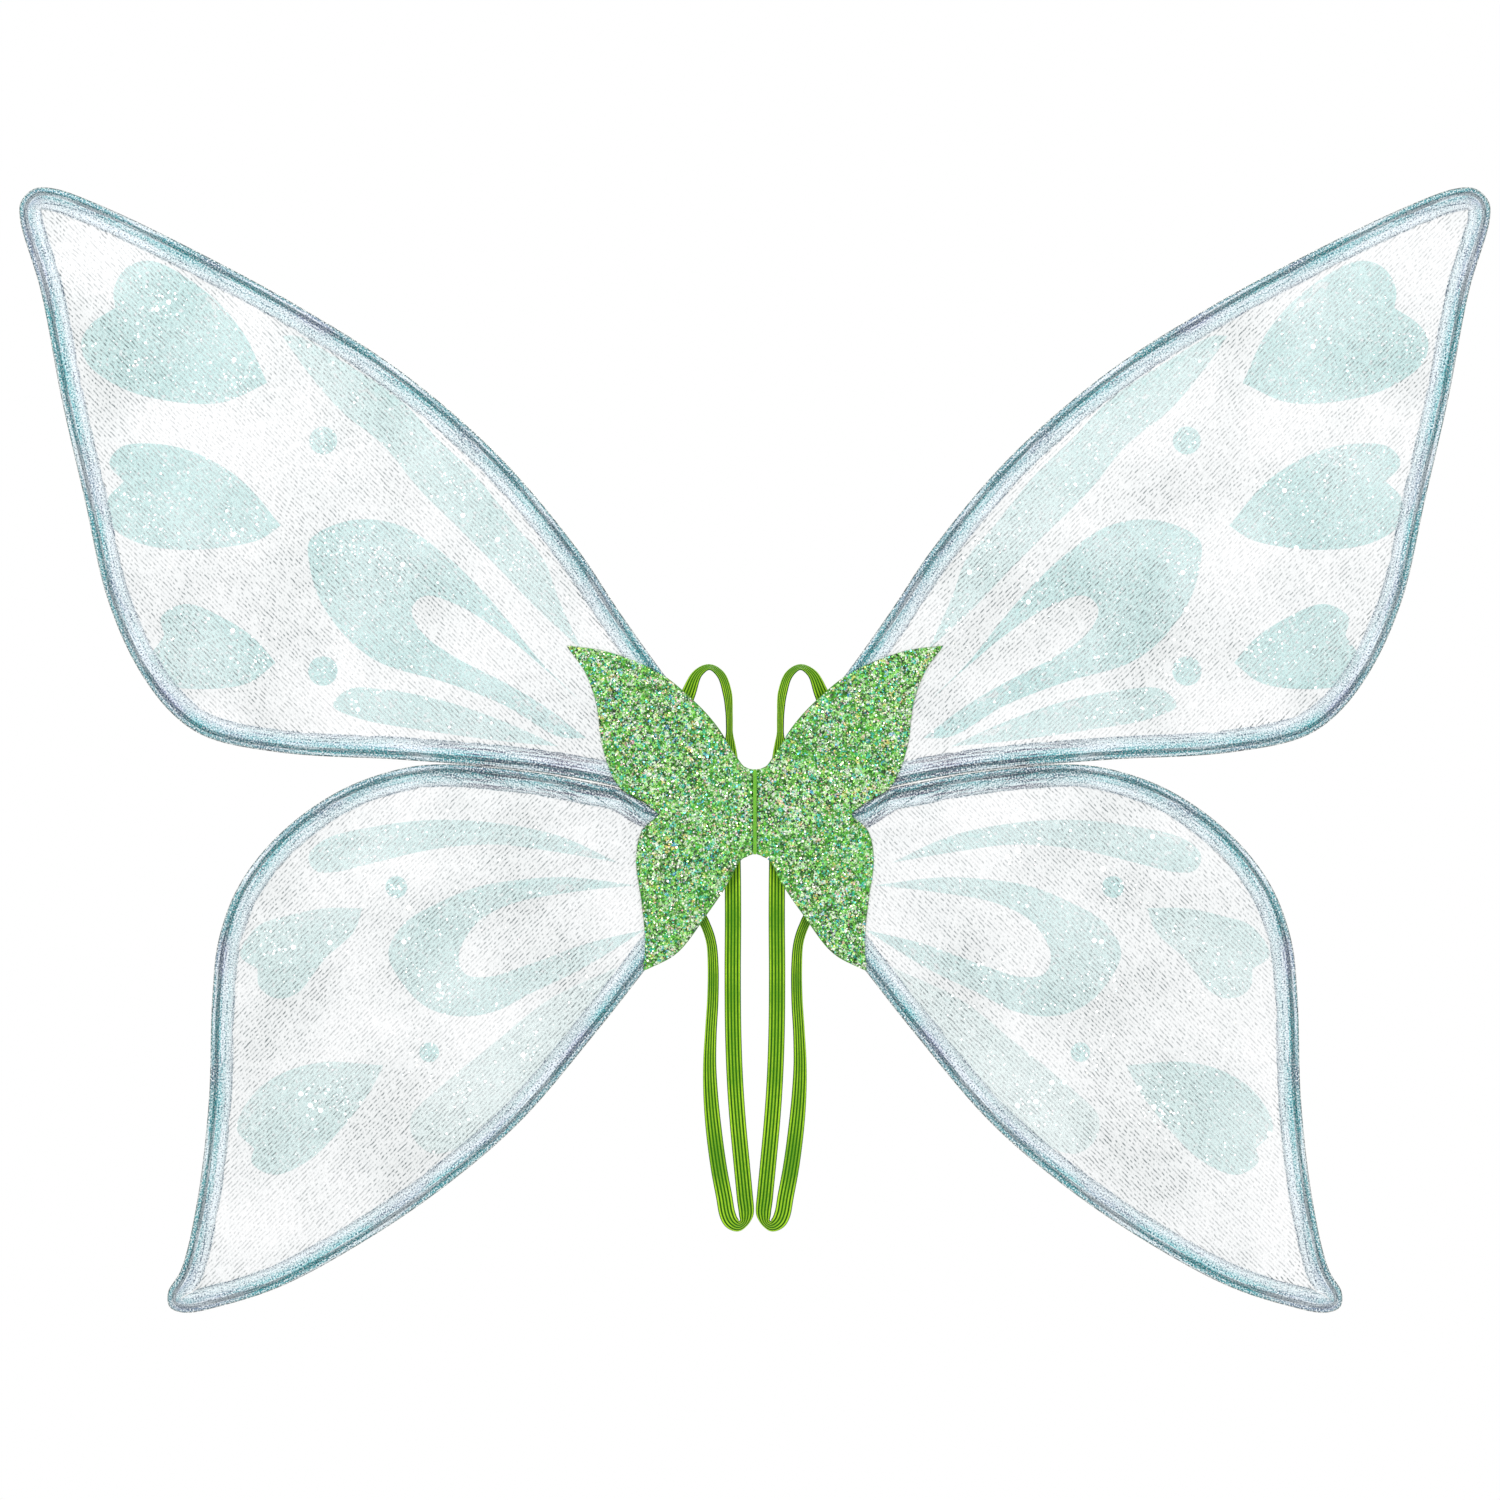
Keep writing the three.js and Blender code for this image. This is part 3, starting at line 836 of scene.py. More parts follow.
def make_strap(hand, side):
    """An arm loop: a ribbed ribbon that turns as it goes, folded at the bottom."""
    line = smooth(STRAP_ROUTE, KNOT_SPANS)
    knot = np.arange(len(line)) / KNOT_SPANS
    turn, bulge = (np.interp(knot, list(table), list(table.values()))
                   for table in (STRAP_TURNS, STRAP_BULGES))
    fine = respaced(np.column_stack([line, turn, bulge]), STRAP_FINE)
    fine[:, 2], fine[:, 3] = soften(fine[:, 2], TURN_REACH), soften(fine[:, 3], BULGE_REACH)
    tight = fine[:, 1] < STRAP_TIGHT_BELOW
    count = np.arange(len(fine))
    kept = fine[tight | (count % STRAP_STEP == 0) | (count == len(fine) - 1)]
    route, turn, bulge = kept[:, :2], kept[:, 2], kept[:, 3]
    depth = middle_depth(f"{hand}_strap") - bulge
    section, ribs = strap_section()
    turn = np.radians(turn)
    along = tangents(route)
    centre = np.stack([-side * route[:, 0], depth, route[:, 1]], axis=1)
    in_plane = np.stack([side * along[:, 1], np.zeros(len(route)), along[:, 0]], axis=1)
    towards = np.array([0, -1.0, 0])
    wide = np.cos(turn)[:, None] * in_plane + np.sin(turn)[:, None] * towards
    thick = -np.sin(turn)[:, None] * in_plane + np.cos(turn)[:, None] * towards
    rings = (centre[:, None, :] + section[None, :, :1] * wide[:, None, :]
             + section[None, :, 1:] * thick[:, None, :]) * MM
    count = len(section)
    distance = run_lengths(centre) * MM
    strap = make_object(f"{hand}_arm_loop", rings.reshape(-1, 3), tube_faces(len(route), count),
                        elastic_material, along=np.repeat(distance, count),
                        across=np.tile(section[:, 0] * MM, len(route)),
                        rib=np.tile(ribs, len(route)))
    face_outwards(strap)
    settle(strap, "centre", "strap_elastic", f"{hand}_strap")


make_camera()
make_studio()
for hand, side in SIDES.items():
    make_strap(hand, side)


# ---- wings ----

def casing_height(inset):
    """Half the casing's thickness at a distance in from its outer edge."""
    return np.interp(inset, [0, 0.4, 1.2, 2.6, 4, 5.6, 8, 11, 14],
                     [0, 0.9, 1.55, 1.9, 1.95, 1.7, 0.95, 0.5, 0.32])


def room_inwards(outline, normals, most):
    """How far each point can move inwards before it nears another stretch of the edge."""
    room = np.zeros(len(outline))
    open_yet = np.ones(len(outline), bool)
    for depth in np.arange(0.5, most + 0.01, 0.5):
        clear = distance_to(outline + normals * depth, outline) > depth - 0.12
        open_yet &= clear
        room[open_yet] = depth
    return soften(room, 7)


# How far the bunched strip spreads outwards, in mm, and how much more it does near the cover.
GATHER_SPREAD = 0.7
COVER_SPREAD = 1.4


def gathered(wing):
    """Where the lower wing's strip is bunched up, along its top edge near the cover."""
    if wing.level == "upper":
        return np.zeros(len(wing.edge))
    a, z = wing.edge.T
    return (z > -5) * np.clip((a - 45) / 25, 0, 1) * np.clip((215 - a) / 50, 0, 1)


def shaded_junction(wing):
    """Where dark lines of painted shade run along the strip, as in bunched pleats: both wings'
    facing edges beside the cover.
    """
    if wing.level == "lower":
        return wing.gather
    a, z = wing.edge.T
    return (z < 45) * np.clip((a - 60) / 20, 0, 1) * np.clip((225 - a) / 60, 0, 1)


class Wing:
    """One wing's edge in mm, and what its pieces share."""

    def __init__(self, level, hand):
        self.level, self.hand = level, hand
        self.side = SIDES[hand]
        self.name = f"{level}_{hand}"
        self.body = f"{hand}_{level}"
        self.slant = RIB_SLANT[level, hand]
        self.rng = random.Random(f"wing {self.name}")
        self.edge = respaced(smooth(WING_EDGES[level]), FINE_STEP)
        self.normals = inward_normals(self.edge)
        self.gather = gathered(self)
        near_cover = np.clip((103 - self.edge[:, 0]) / 20, 0, 1)
        spread = (GATHER_SPREAD + COVER_SPREAD * near_cover) * self.gather
        self.edge = self.edge - self.normals * spread[:, None]
        self.along = np.arange(len(self.edge)) * FINE_STEP
        self.room = room_inwards(self.edge, self.normals, CASING_WIDTH)


def make_wire(wing):
    """The frame wire: a loop inside the casing with both ends in the clip."""
    inner = wing.edge + wing.normals * WIRE_INSET
    keep = distance_to(inner, wing.edge) > WIRE_INSET - 0.15
    first, last = ((WIRE_END, z) for z in WIRE_END_HEIGHTS[wing.level])
    line = respaced(smooth([first, *inner[keep][1:-1:6], last], 6), FINE_STEP)
    sides = 12
    angle = 2 * math.pi * np.arange(sides) / sides
    along = tangents(line)
    across = np.stack([-along[:, 1], along[:, 0]], axis=1)
    flat = line[:, None, :] + WIRE_RADIUS * np.cos(angle)[None, :, None] * across[:, None, :]
    depth = MID_Y + WIRE_RADIUS * np.sin(angle)[None, :] * np.ones((len(line), 1))
    points = place(flat.reshape(-1, 2), depth.ravel(), wing.side)
    wire = make_object(f"{wing.name}_frame_wire", points, tube_faces(len(line), sides),
                       wire_material)
    face_outwards(wire)
    settle(wire, wing.body, "steel_wire", f"{wing.name}_wire")


# How far in from the edge the strip's points are, from its seam to its fold, in mm.
CASING_INSETS = [14, 13.2, 12.2, 11, 9.6, 8.2, 7, 5.9, 4.9, 4, 3.1, 2.3, 1.6, 1, 0.5, 0.15, 0]
# Each face's random waves: how many, the longest and the shortest, in mm.
FOLD_WAVES = {"slow": (5, 160, 40), "swing": (5, 90, 24), "pucker": (7, 16, 7),
              "ripple": (6, 60, 14)}
# How high its lengthwise folds, seam puckers, ripples and bunched folds stand, in mm.
FOLD, PUCKER, RIPPLE, BUNCH = 0.2, 0.16, 0.07, 0.35
# The strip's least height off the middle plane, in mm: over the wire, and elsewhere.
OVER_WIRE, LEAST_HEIGHT = 1.5, 0.12


def make_casing(wing):
    """The organza strip, folded over the wire and sewn flat along its inner edge."""
    insets = CASING_INSETS + CASING_INSETS[-2::-1]
    around = len(CASING_INSETS) - 1
    rows, heights, across = [], [], []
    gather = wing.gather
    wander = 0.5 * waves(wing.rng, wing.along, 5, 60, 12)
    folds = {face: [waves(wing.rng, wing.along, *kind) for kind in FOLD_WAVES.values()]
             for face in (FRONT, BACK)}
    for inset, face in zip(insets, [FRONT] * around + [0] + [BACK] * around):
        drift = wander * np.clip((inset - 9) / 3, 0, 1)
        depth = np.minimum(inset + drift, wing.room)
        height = casing_height(depth)
        if face:
            slow, swing, pucker, ripple = folds[face]
            lengthwise = np.sin(2 * math.pi * (inset / 5.2 + 0.22 * swing)) * (0.5 + 0.5 * slow)
            body = np.clip((inset - 1.0) / 3, 0, 1) * np.clip((14 - inset) / 4, 0.12, 1)
            hem = np.clip((inset - 6) / 4, 0, 1) * np.clip((14.2 - inset) / 2, 0, 1)
            height = height + FOLD * lengthwise * body + PUCKER * pucker * hem
            height = height + RIPPLE * ripple * body
            height = height + BUNCH * gather * body * np.roll(pucker, int(1.1 * inset))
            on_wire = np.abs(depth - WIRE_INSET) < 1.8
            height = np.maximum(height, np.where(on_wire, OVER_WIRE, LEAST_HEIGHT))
        rows.append(wing.edge + wing.normals * depth[:, None])
        heights.append(MID_Y + face * height)
        across.append(depth * MM)
    flat = np.stack(rows, axis=1).reshape(-1, 2)
    points = place(flat, np.stack(heights, axis=1).ravel(), wing.side)
    faces = grid_faces(len(wing.edge), len(insets), flip=wing.side < 0)
    along, gathers, pleats = (np.repeat(values, len(insets))
                              for values in (wing.along * MM, gather, shaded_junction(wing)))
    casing = make_object(f"{wing.name}_organza_casing", points, faces, casing_material,
                         along=along, across=np.stack(across, axis=1).ravel(),
                         gather=gathers, pleats=pleats)
    settle(casing, wing.body, "edge_organza", f"{wing.name}_casing")


MEMBRANE_TUCK = 12.0
MEMBRANE_SPACING = 4.0
# How far the sheet's belly and its tension folds stand out, in mm.
BELLY, FAN = 1.6, 0.7


def billow(wing, points, outline):
    """A slack sheet's shape: a soft belly and tension folds that fan out from the root."""
    depth = distance_to(points, outline)
    belly = 1 - np.exp(-depth / 45)
    root = np.array([12.0, 12.0 if wing.level == "upper" else -10.0])
    away = points - root
    angle, reach = np.arctan2(away[:, 1], away[:, 0]), np.linalg.norm(away, axis=1)
    fan = waves(wing.rng, angle, 6, 0.5, 0.11) * np.exp(-((reach - 120) / 110) ** 2)
    drift = waves(wing.rng, points[:, 0] + 0.4 * points[:, 1], 4, 260, 90)
    hold = 1 - np.exp(-(depth / 9) ** 2)
    return (BELLY * belly * (1 + 0.5 * drift) + FAN * fan) * hold


SIMULATED_FRAMES = 20
# How much larger than its frame the cloth is, as a share.
SLACK = 0.0016


def most_lift(points):
    """How far the sheet may leave its plane, in mm: almost nothing where the felt lies on it."""
    cover = chain(COVER_CURVES)
    away = np.where(inside(points, cover), 0, distance_to(points, cover))
    return np.clip(0.25 + 0.11 * away, 0, 5.5)


def relax_sheet(sheet, held):
    """Let the sheet find its own small folds: a short cloth simulation, held along its rim."""
    rim = sheet.vertex_groups.new(name="rim")
    rim.add(held, 1.0, "REPLACE")
    cloth = sheet.modifiers.new("cloth", "CLOTH")
    cloth.settings.vertex_group_mass = "rim"
    cloth.settings.quality = 6
    cloth.settings.mass = 0.02
    cloth.settings.tension_stiffness = 20
    cloth.settings.compression_stiffness = 8
    cloth.settings.shear_stiffness = 6
    cloth.settings.bending_stiffness = 0.02
    cloth.settings.shrink_min = -SLACK
    cloth.settings.effector_weights.gravity = 0
    cloth.collision_settings.use_collision = False
    cloth.point_cache.frame_end = SIMULATED_FRAMES
    scene = bpy.context.scene
    for frame_number in range(1, SIMULATED_FRAMES + 1):
        scene.frame_set(frame_number)
    shaped = sheet.evaluated_get(bpy.context.evaluated_depsgraph_get())
    places = np.empty(3 * len(sheet.data.vertices))
    shaped.data.vertices.foreach_get("co", places)
    sheet.modifiers.remove(cloth)
    sheet.vertex_groups.remove(rim)
    sheet.data.vertices.foreach_set("co", places)
    sheet.data.update()
    scene.frame_set(1)


def hold_down(sheet, limit):
    """Ease the sheet back towards its plane, so that no point leaves it by more than its limit."""
    places = np.array([v.co for v in sheet.data.vertices])
    middle = MID_Y * MM
    lift = places[:, 1] - middle
    places[:, 1] = middle + np.tanh(lift / (limit * MM)) * limit * MM
    sheet.data.vertices.foreach_set("co", places.ravel())
    sheet.data.update()


def make_membrane(wing):
    """The sheer sheet, tucked under the casing's seam all round."""
    tucked = wing.edge + wing.normals * MEMBRANE_TUCK
    outline = tucked[wing.room > MEMBRANE_TUCK + 0.2]
    vertices, triangles = fill(outline, MEMBRANE_SPACING, turn=wing.slant * math.pi / 4)
    lift = billow(wing, vertices, outline)
    # The ribs are drawn darker near the hem, in patches: painted shade beside the casing.
    painted_hem_shade = np.exp(-distance_to(vertices, outline) / 14)
    patches = waves(wing.rng, vertices[:, 0] - vertices[:, 1], 4, 150, 40)
    points = place(vertices, MID_Y - lift, wing.side)
    if wing.side < 0:
        triangles = triangles[:, ::-1]
    sheet = make_object(f"{wing.name}_sheer_sheet", points, triangles,
                        membrane_materials[wing.slant],
                        shade=painted_hem_shade * (0.75 + 0.35 * patches))
    relax_sheet(sheet, list(range(len(outline))))
    hold_down(sheet, most_lift(vertices))
    settle(sheet, wing.body, "sheer_membrane", f"{wing.name}_membrane")
    return sheet


FILM_LIFT = 0.16
FILM_SPACING = 5.0
# Film that is paler than the rest in the photo; 0 is the full tint.
FILM_FADES = {("lower", "root_leaf"): 1.1, ("lower", "edge_leaf"): 0.5,
              ("lower", "small_heart"): 0.65, ("lower", "tip_heart"): 0.6,
              ("lower", "horseshoe"): 0.5, ("upper", "edge_leaf"): 0.45,
              ("upper", "root_leaf"): 0.35}


def film_outlines(wing):
    """Each film shape's outline, with how pale it is."""
    shapes = [(chain(curves, 3.0), FILM_FADES.get((wing.level, name), 0.0))
              for name, curves in FILM_SHAPES[wing.level].items()]
    for a, z, radius in FILM_DOTS[wing.level]:
        angle = np.linspace(0, 2 * math.pi, 24, endpoint=False)
        dot = np.stack([a + radius * np.cos(angle), z + radius * np.sin(angle)], axis=1)
        shapes.append((dot, 0.0))
    return shapes


def depth_on(tree, points, side):
    """The sheet's depth in mm in front of wing-plane points."""
    found = []
    for a, z in points:
        hit = tree.ray_cast((side * a * MM, -0.2, z * MM), (0, 1, 0))[0]
        found.append(hit.y / MM if hit else MID_Y)
    return np.array(found)


def make_film(wing, sheet):
    """The pale film shapes, bonded through the sheet: a layer on each face."""
    tree = BVHTree.FromPolygons([v.co for v in sheet.data.vertices],
                                [p.vertices[:] for p in sheet.data.polygons])
    points, faces, fades, start = [], [], [], 0
    for outline, fade in film_outlines(wing):
        vertices, triangles = fill(outline, FILM_SPACING)
        depth = depth_on(tree, vertices, wing.side)
        for face in (FRONT, BACK):
            points.append(place(vertices, depth + face * FILM_LIFT, wing.side))
            turned = triangles[:, ::-1] if wing.side * face > 0 else triangles
            faces += (turned + start).tolist()
            fades += [fade] * len(vertices)
            start += len(vertices)
    film = make_object(f"{wing.name}_glitter_film", np.concatenate(points), faces,
                       film_materials[wing.slant], fade=fades)
    settle(film, wing.body, "sheer_membrane")
    return tree


def glint_disc_spots(wing):
    """Places for the glowing discs that stand in for glints: clusters on each film shape, and a
    few between the shapes.
    """
    rng = np.random.default_rng(len(wing.name) * 7 + (1 if wing.hand == "left" else 2))
    outline = (wing.edge + wing.normals * CASING_WIDTH)[wing.room > CASING_WIDTH - 0.3]
    films = [film for film, _ in film_outlines(wing)]
    tries = [rng.uniform(outline.min(0), outline.max(0), (70, 2))]
    for film in films:
        low, high = film.min(0), film.max(0)
        box = rng.uniform(low, high, (max(4, int(np.prod(high - low) / 90)), 2))
        box = box[inside(box, film)]
        hearts = box[rng.choice(len(box), 1 + len(box) // 40)]
        tries += [box] + [middle + rng.normal(0, 9, (26, 2)) for middle in hearts]
    spots = np.concatenate(tries)
    return spots[inside(spots, outline) & (distance_to(spots, outline) > 3)]


# A glint disc's least radius and how much luck can add to it, in mm; a few get the same again.
GLINT_DISC_RADIUS, GLINT_DISC_GROWTH = 0.3, 0.6
BIG_LUCK = 0.985
GLINT_DISC_CORNERS = 10


def make_glint_discs(wing, tree):
    """Small round discs that glow, painted glints, close together on the film and scattered
    elsewhere.
    """
    spots = glint_disc_spots(wing)
    depth = depth_on(tree, spots, wing.side)
    points, faces, shades = [], [], []
    corners = GLINT_DISC_CORNERS
    for (a, z), y in zip(spots, depth):
        luck, shade = wing.rng.random(), wing.rng.random()
        radius = GLINT_DISC_RADIUS + GLINT_DISC_GROWTH * luck ** 3
        if luck > BIG_LUCK:
            radius += GLINT_DISC_GROWTH
        start = len(points)
        points.append((wing.side * a * MM, (y - FILM_LIFT - 0.25) * MM, z * MM))
        for k in range(corners):
            angle = 2 * math.pi * k / corners
            points.append(((wing.side * a + radius * math.cos(angle)) * MM,
                           (y - FILM_LIFT - 0.1) * MM, (z + radius * math.sin(angle)) * MM))
        faces += [(start, start + 1 + k, start + 1 + (k + 1) % corners) for k in range(corners)]
        shades += [shade] * (corners + 1)
    glint_discs = make_object(f"{wing.name}_sequins", points, faces, glint_disc_material,
                           shade=shades)
    settle(glint_discs, wing.body, "sheer_membrane")


STITCH_PITCH = 3.6
STITCH_LENGTH = 2.7
THREAD_RADIUS = 0.17


def make_stitches(name, side, rows, material):
    """Thread along rows of (wing-plane line, depth, face), as small arched capsules."""
    sides, beads = 5, 5
    capsule = np.array(grid_faces(beads, sides, wrap=True))
    caps = np.array([np.arange(sides)[::-1], np.arange(sides) + (beads - 1) * sides])
    points, faces = [], []
    angle = 2 * math.pi * np.arange(sides) / sides
    for line, depth, face in rows:
        path = np.stack([side * line[:, 0], np.broadcast_to(depth, len(line)), line[:, 1]], axis=1)
        out = np.array([0.0, face, 0.0])
        along = run_lengths(path)
        for first in np.arange(0.5, along[-1] - STITCH_LENGTH, STITCH_PITCH):
            at = first + STITCH_LENGTH * np.linspace(0, 1, beads)
            centre = np.stack([np.interp(at, along, path[:, k]) for k in range(3)], axis=1)
            run = centre[-1] - centre[0]
            run /= max(np.linalg.norm(run), 1e-9)
            across = np.cross(run, out)
            arch = np.sin(np.linspace(0, math.pi, beads))
            radius = THREAD_RADIUS * (0.45 + 0.55 * arch)
            centre = centre + out * (0.9 * THREAD_RADIUS * arch - 0.5 * THREAD_RADIUS)[:, None]
            ring = (centre[:, None, :] + radius[:, None, None]
                    * (np.cos(angle)[:, None] * across + np.sin(angle)[:, None] * out))
            start = len(points) * sides * beads
            points.append(ring.reshape(-1, 3))
            faces += (capsule + start).tolist() + (caps + start).tolist()
    return make_object(name, np.concatenate(points) * MM, faces, material)


HEM_STITCH_INSET = 12.6


def make_casing_stitches(wing):
    """Thread along the seam that closes the strip, on both faces."""
    line = (wing.edge + wing.normals * HEM_STITCH_INSET)[wing.room > HEM_STITCH_INSET]
    height = casing_height(HEM_STITCH_INSET) + 0.1
    rows = [(line, MID_Y + face * height, face) for face in (FRONT, BACK)]
    stitches = make_stitches(f"{wing.name}_hem_stitches", wing.side, rows, pale_thread)
    settle(stitches, wing.body, "edge_organza")


wings = {hand: [Wing(level, hand) for level in LEVELS] for hand in SIDES}
for hand in SIDES:
    for wing in wings[hand]:
        make_wire(wing)
        make_casing(wing)
        sheet = make_membrane(wing)
        tree = make_film(wing, sheet)
        make_glint_discs(wing, tree)
        make_casing_stitches(wing)


# ---- the glitter cover, its backing and the middle ----

COVER_SPACING = 2.2
COVER_THICK = 1.0
BACKING_MARGIN = 0.5
# How far the felt stands off the middle plane over the clips and the spine, in mm.
CLIP_COVER = 2.6
# The gap under the felt, its ripples, and its rounded edge's width and depth, in mm.
FELT_GAP, FELT_RIPPLE = 0.1, 0.12
EDGE_WIDTH, EDGE_DEPTH = 0.9, 0.35
# Each face's piece: its name, its word in the CAD nodes' names, and its material.
COVER_FACES = {FRONT: ("glitter_cover", "front", glitter_material),
               BACK: ("backing_felt", "back", backing_material)}


def drape_height(points, wings):
    """How far the felt stands off the middle plane to pass over the casings, wires and clips."""
    height = np.zeros(len(points))
    for wing in wings:
        within = inside(points, wing.edge)
        depth = distance_to(points, wing.edge)
        over = np.where(depth < CASING_WIDTH, casing_height(depth) + 0.25, 0.4)
        height = np.maximum(height, np.where(within, over, 0))
    away = np.maximum((points[:, 0] - 11.5) / 9, (abs(points[:, 1]) - 19) / 8)
    near = np.clip(1 - away, 0, 1)
    return np.maximum(height, CLIP_COVER * near * near * (3 - 2 * near))


def relaxed(values, triangles, rounds):
    """Felt bridges hollows: smooth the heights without sinking below what lies under."""
    count = len(values)
    pairs = np.concatenate([triangles[:, [0, 1]], triangles[:, [1, 2]], triangles[:, [2, 0]]])
    pairs = np.concatenate([pairs, pairs[:, ::-1]])
    ways = np.bincount(pairs[:, 0], minlength=count)
    found = values.copy()
    for _ in range(rounds):
        mean = np.bincount(pairs[:, 0], found[pairs[:, 1]], minlength=count) / ways
        found = np.maximum(values, 0.35 * found + 0.65 * mean)
    return found


def blend_cover(made, replaced=()):
    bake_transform(made)
    if replaced:
        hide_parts(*replaced)


def make_half_cover(hand, wings, face):
    """One half of the felt, front or back, draped over both wings of that side."""
    rng = random.Random(f"cover {hand} {face}")
    outline = chain(COVER_CURVES)
    if face == BACK:
        outline = outline - inward_normals(outline) * BACKING_MARGIN * (outline[:, :1] > 4)
    seam = np.linspace(COVER_CURVES[-1][-1], COVER_CURVES[0][0], 27)[:-1]
    outline = np.concatenate([outline, seam])
    vertices, triangles = fill(outline, COVER_SPACING)
    depth = distance_to(vertices, outline)
    drape = relaxed(drape_height(vertices, wings), triangles, 30)
    ripple = waves(rng, vertices[:, 0] + 0.6 * vertices[:, 1], 4, 70, 24)
    ripple *= FELT_RIPPLE * np.clip(depth / 6, 0, 1)
    lift = FELT_GAP + drape + np.abs(ripple)
    rim = np.clip(depth / EDGE_WIDTH, 0, 1)
    round_off = EDGE_DEPTH * (1 - np.sqrt(1 - (1 - rim) ** 2))
    outer = MID_Y + face * (lift + COVER_THICK - round_off)
    inner = MID_Y + face * lift
    name, kind, material = COVER_FACES[face]
    made = make_shell(f"{hand}_{name}", vertices, triangles, outer, inner, SIDES[hand],
                      len(outline), material)
    blend_cover(made,
                [f"{level}_{hand}_{kind}_cover" for level in LEVELS])
    return vertices, triangles, outer


# The flakes' least and most radius in mm, how unevenly they lie, and how many there are.
FLAKE_SIZES = (0.3, 0.64)
FLAKE_TILT = 0.3
FLAKES_PER_HALF = 7500


def make_flakes(hand, surface):
    """Hexagonal glitter bonded all over the front of the felt."""
    side = SIDES[hand]
    rng = np.random.default_rng(71 if hand == "left" else 72)
    vertices, triangles, outer = surface
    a, b, c = (vertices[triangles[:, i]] for i in range(3))
    area = np.abs(np.cross(b - a, c - a))
    chosen = rng.choice(len(triangles), FLAKES_PER_HALF, p=area / area.sum())
    u, v = rng.random(FLAKES_PER_HALF), rng.random(FLAKES_PER_HALF)
    u, v = np.where(u + v > 1, 1 - u, u), np.where(u + v > 1, 1 - v, v)
    share = np.stack([1 - u - v, u, v], axis=1)
    corners = triangles[chosen]
    flat = (vertices[corners] * share[:, :, None]).sum(1)
    depth = (outer[corners] * share).sum(1)
    radius = rng.uniform(*FLAKE_SIZES, FLAKES_PER_HALF)
    tilt = rng.normal(0, FLAKE_TILT, (FLAKES_PER_HALF, 2))
    spin = rng.uniform(0, math.pi, FLAKES_PER_HALF)
    angle = spin[:, None] + math.pi / 3 * np.arange(6)[None, :]
    dx, dz = radius[:, None] * np.cos(angle), radius[:, None] * np.sin(angle)
    lean = dx * tilt[:, :1] + dz * tilt[:, 1:]
    y = depth[:, None] - 0.1 - np.abs(lean).max(1)[:, None] * 0.8 + lean
    points = np.stack([side * flat[:, :1] + dx, y, flat[:, 1:] + dz], axis=2).reshape(-1, 3) * MM
    faces = (np.arange(6)[None, :] + 6 * np.arange(FLAKES_PER_HALF)[:, None]).tolist()
    flakes = make_object(f"{hand}_glitter_flakes", points, faces, flake_material,
                         shade=np.repeat(rng.random(FLAKES_PER_HALF), 6))
    flakes.data.polygons.foreach_set("use_smooth", [False] * len(faces))
    blend_cover(flakes)


STITCH_INSET = 2.2


def make_cover_stitches(hand, surface, face):
    """Thread along the felt's edge, where the cover and its backing are sewn together."""
    vertices, _, outer = surface
    rim = chain(COVER_CURVES)
    line = respaced(rim + inward_normals(rim) * STITCH_INSET, 1.5)
    nearest = [int(np.argmin(((vertices - p) ** 2).sum(1))) for p in line]
    name = "cover" if face == FRONT else "backing"
    made = make_stitches(f"{hand}_{name}_stitches", SIDES[hand],
                         [(line, outer[nearest] + face * 0.05, face)], green_thread)
    blend_cover(made)


# Half the welt's width and the radius of its edges, in mm.
WELT_HALF_WIDTH = 1.15
WELT_ROUND = 0.6


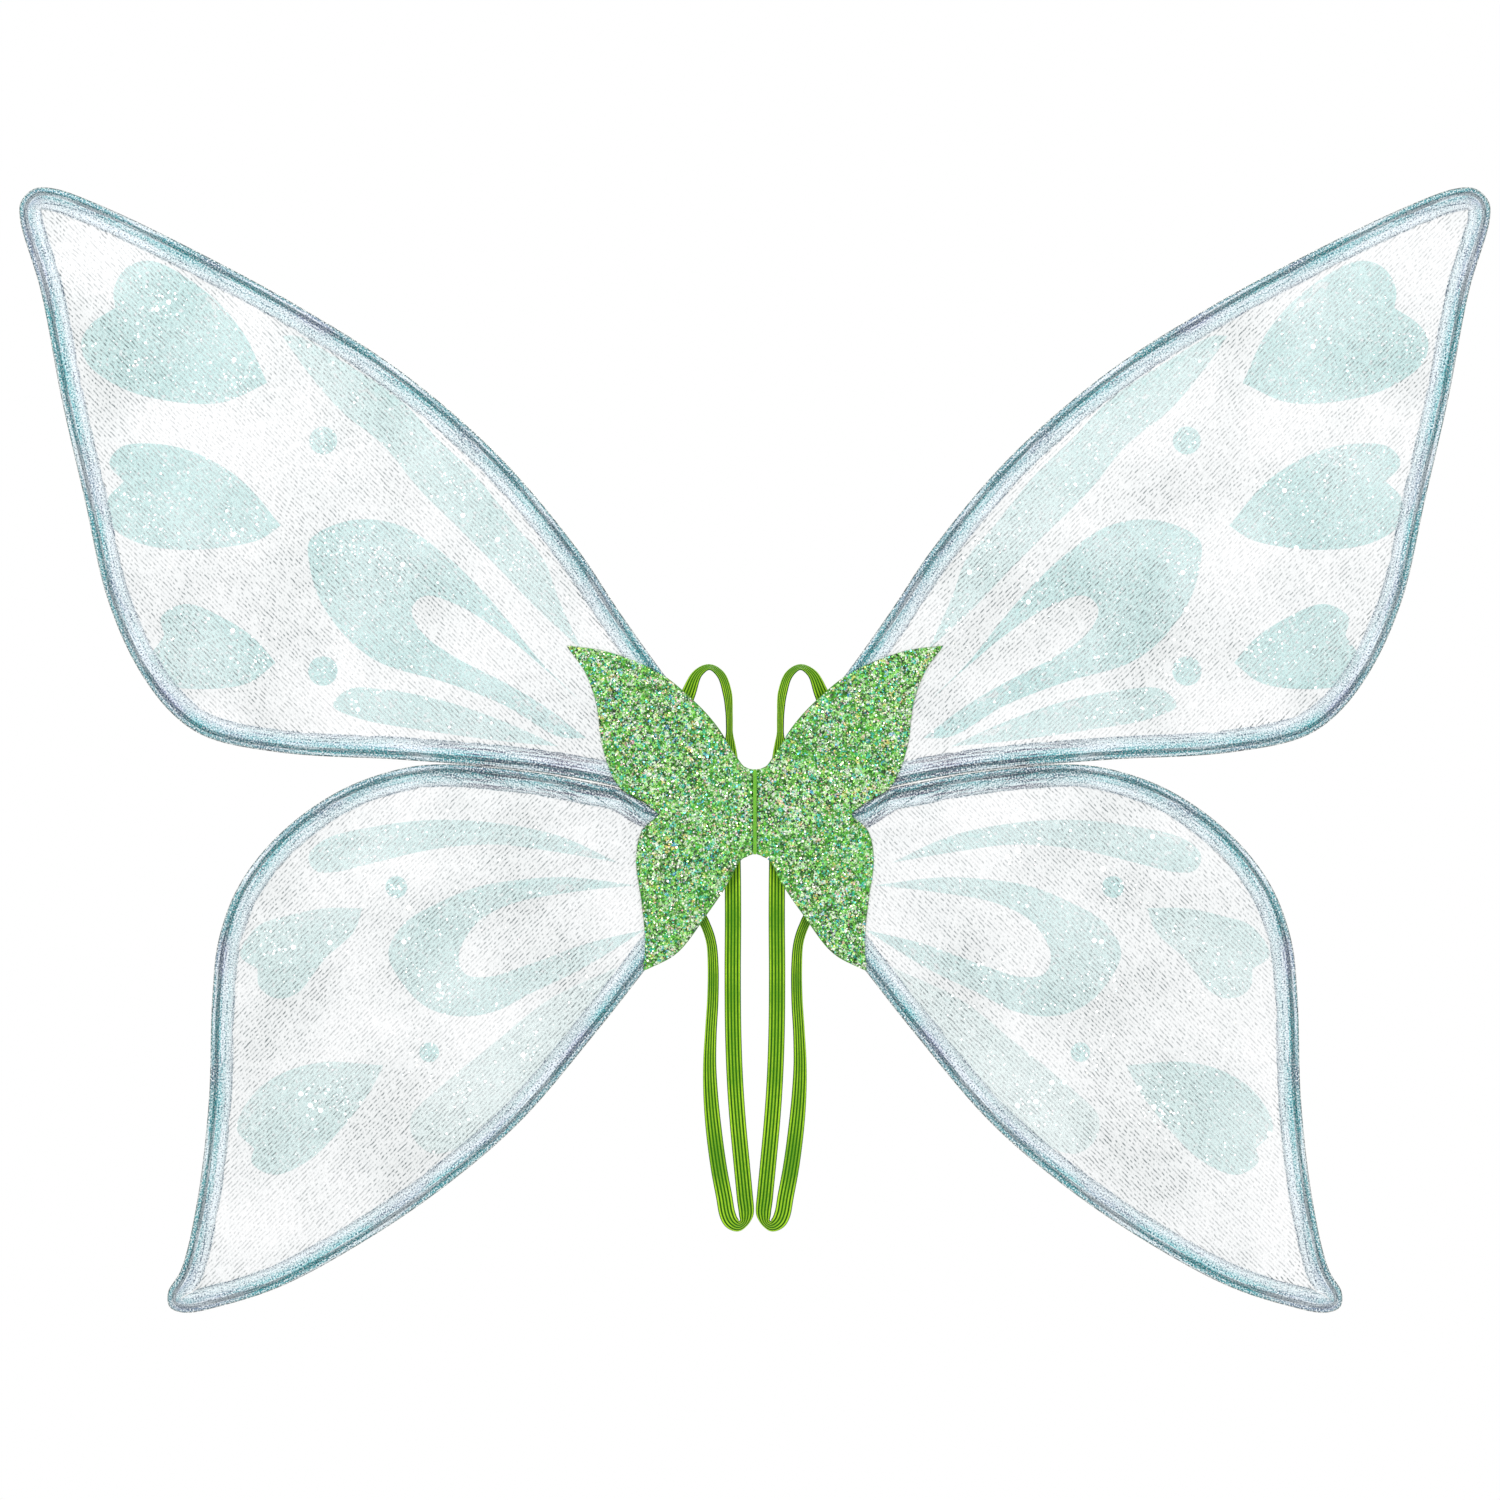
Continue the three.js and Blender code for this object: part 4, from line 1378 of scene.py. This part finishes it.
def make_welt():
    """The narrow bar down the middle of the cover, with rounded edges."""
    low, high = (np.array(corner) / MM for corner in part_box("centre_welt"))
    low[0], high[0] = -WELT_HALF_WIDTH, WELT_HALF_WIDTH
    work = bmesh.new()
    bmesh.ops.create_cube(work, size=1.0)
    for vertex in work.verts:
        vertex.co = ((low + high) / 2 + np.array(vertex.co) * (high - low)) * MM
    bmesh.ops.bevel(work, geom=work.edges[:], offset=WELT_ROUND * MM, segments=4, profile=0.5,
                    affect="EDGES")
    work.verts.index_update()
    corners = [vertex.co[:] for vertex in work.verts]
    faces = [[vertex.index for vertex in face.verts] for face in work.faces]
    work.free()
    welt = make_object("centre_crease_welt", corners, faces, welt_material)
    settle(welt, "centre", "glitter_cover", "centre_welt")


def paint_node(node, material):
    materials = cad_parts[node].data.materials
    materials.clear()
    materials.append(material)


PAD_CORNER = 8.0
PAD_ROUND = 1.2
# The sewn groove's distance in from the pad's rim, its depth and its width, in mm.
GROOVE_INSET, GROOVE_DEPTH, GROOVE_WIDTH = 3.6, 0.35, 0.9


def make_pad():
    """The felt pad on the wearer's side, flat at the back and softly rounded at the rim."""
    low, high = (np.array(corner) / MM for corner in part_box("back_pad"))
    half = np.array([high[0] - low[0], high[2] - low[2]]) / 2
    middle = np.array([high[0] + low[0], high[2] + low[2]]) / 2
    angle = np.radians(np.arange(0, 360, 6))
    rim = np.stack([np.cos(angle), np.sin(angle)], axis=1)
    outline = np.sign(np.round(rim, 9)) * (half - PAD_CORNER) + rim * PAD_CORNER
    outline = respaced(np.concatenate([outline, outline[:1]]), 1.6)[:-1] + middle
    vertices, triangles = fill(outline, 1.8)
    depth = distance_to(vertices, outline)
    rounding = PAD_ROUND * (1 - np.sqrt(1 - (1 - np.clip(depth / PAD_ROUND, 0, 1)) ** 2))
    seam = GROOVE_DEPTH * np.exp(-((depth - GROOVE_INSET) / GROOVE_WIDTH) ** 2)
    back, front = high[1], low[1]
    pad = make_shell("felt_back_pad", vertices, triangles, back - 0.6 * rounding - seam,
                     front + 0.5 * rounding, 1, len(outline), pad_material)
    settle(pad, "centre", "felt_green", "back_pad")
    loop = np.concatenate([outline, outline[:2]])
    line = loop + inward_normals(loop) * GROOVE_INSET
    stitches = make_stitches("pad_stitches", 1, [(line, back - 0.3, BACK)], green_thread)
    settle(stitches, "centre", "felt_green")


for hand in SIDES:
    for face in (FRONT, BACK):
        surface = make_half_cover(hand, wings[hand], face)
        make_cover_stitches(hand, surface, face)
        if face == FRONT:
            make_flakes(hand, surface)
make_pad()
make_welt()
paint_node("spine_core", pad_material)
for hand in SIDES:
    for level in LEVELS:
        paint_node(f"{level}_{hand}_clip", clip_material)
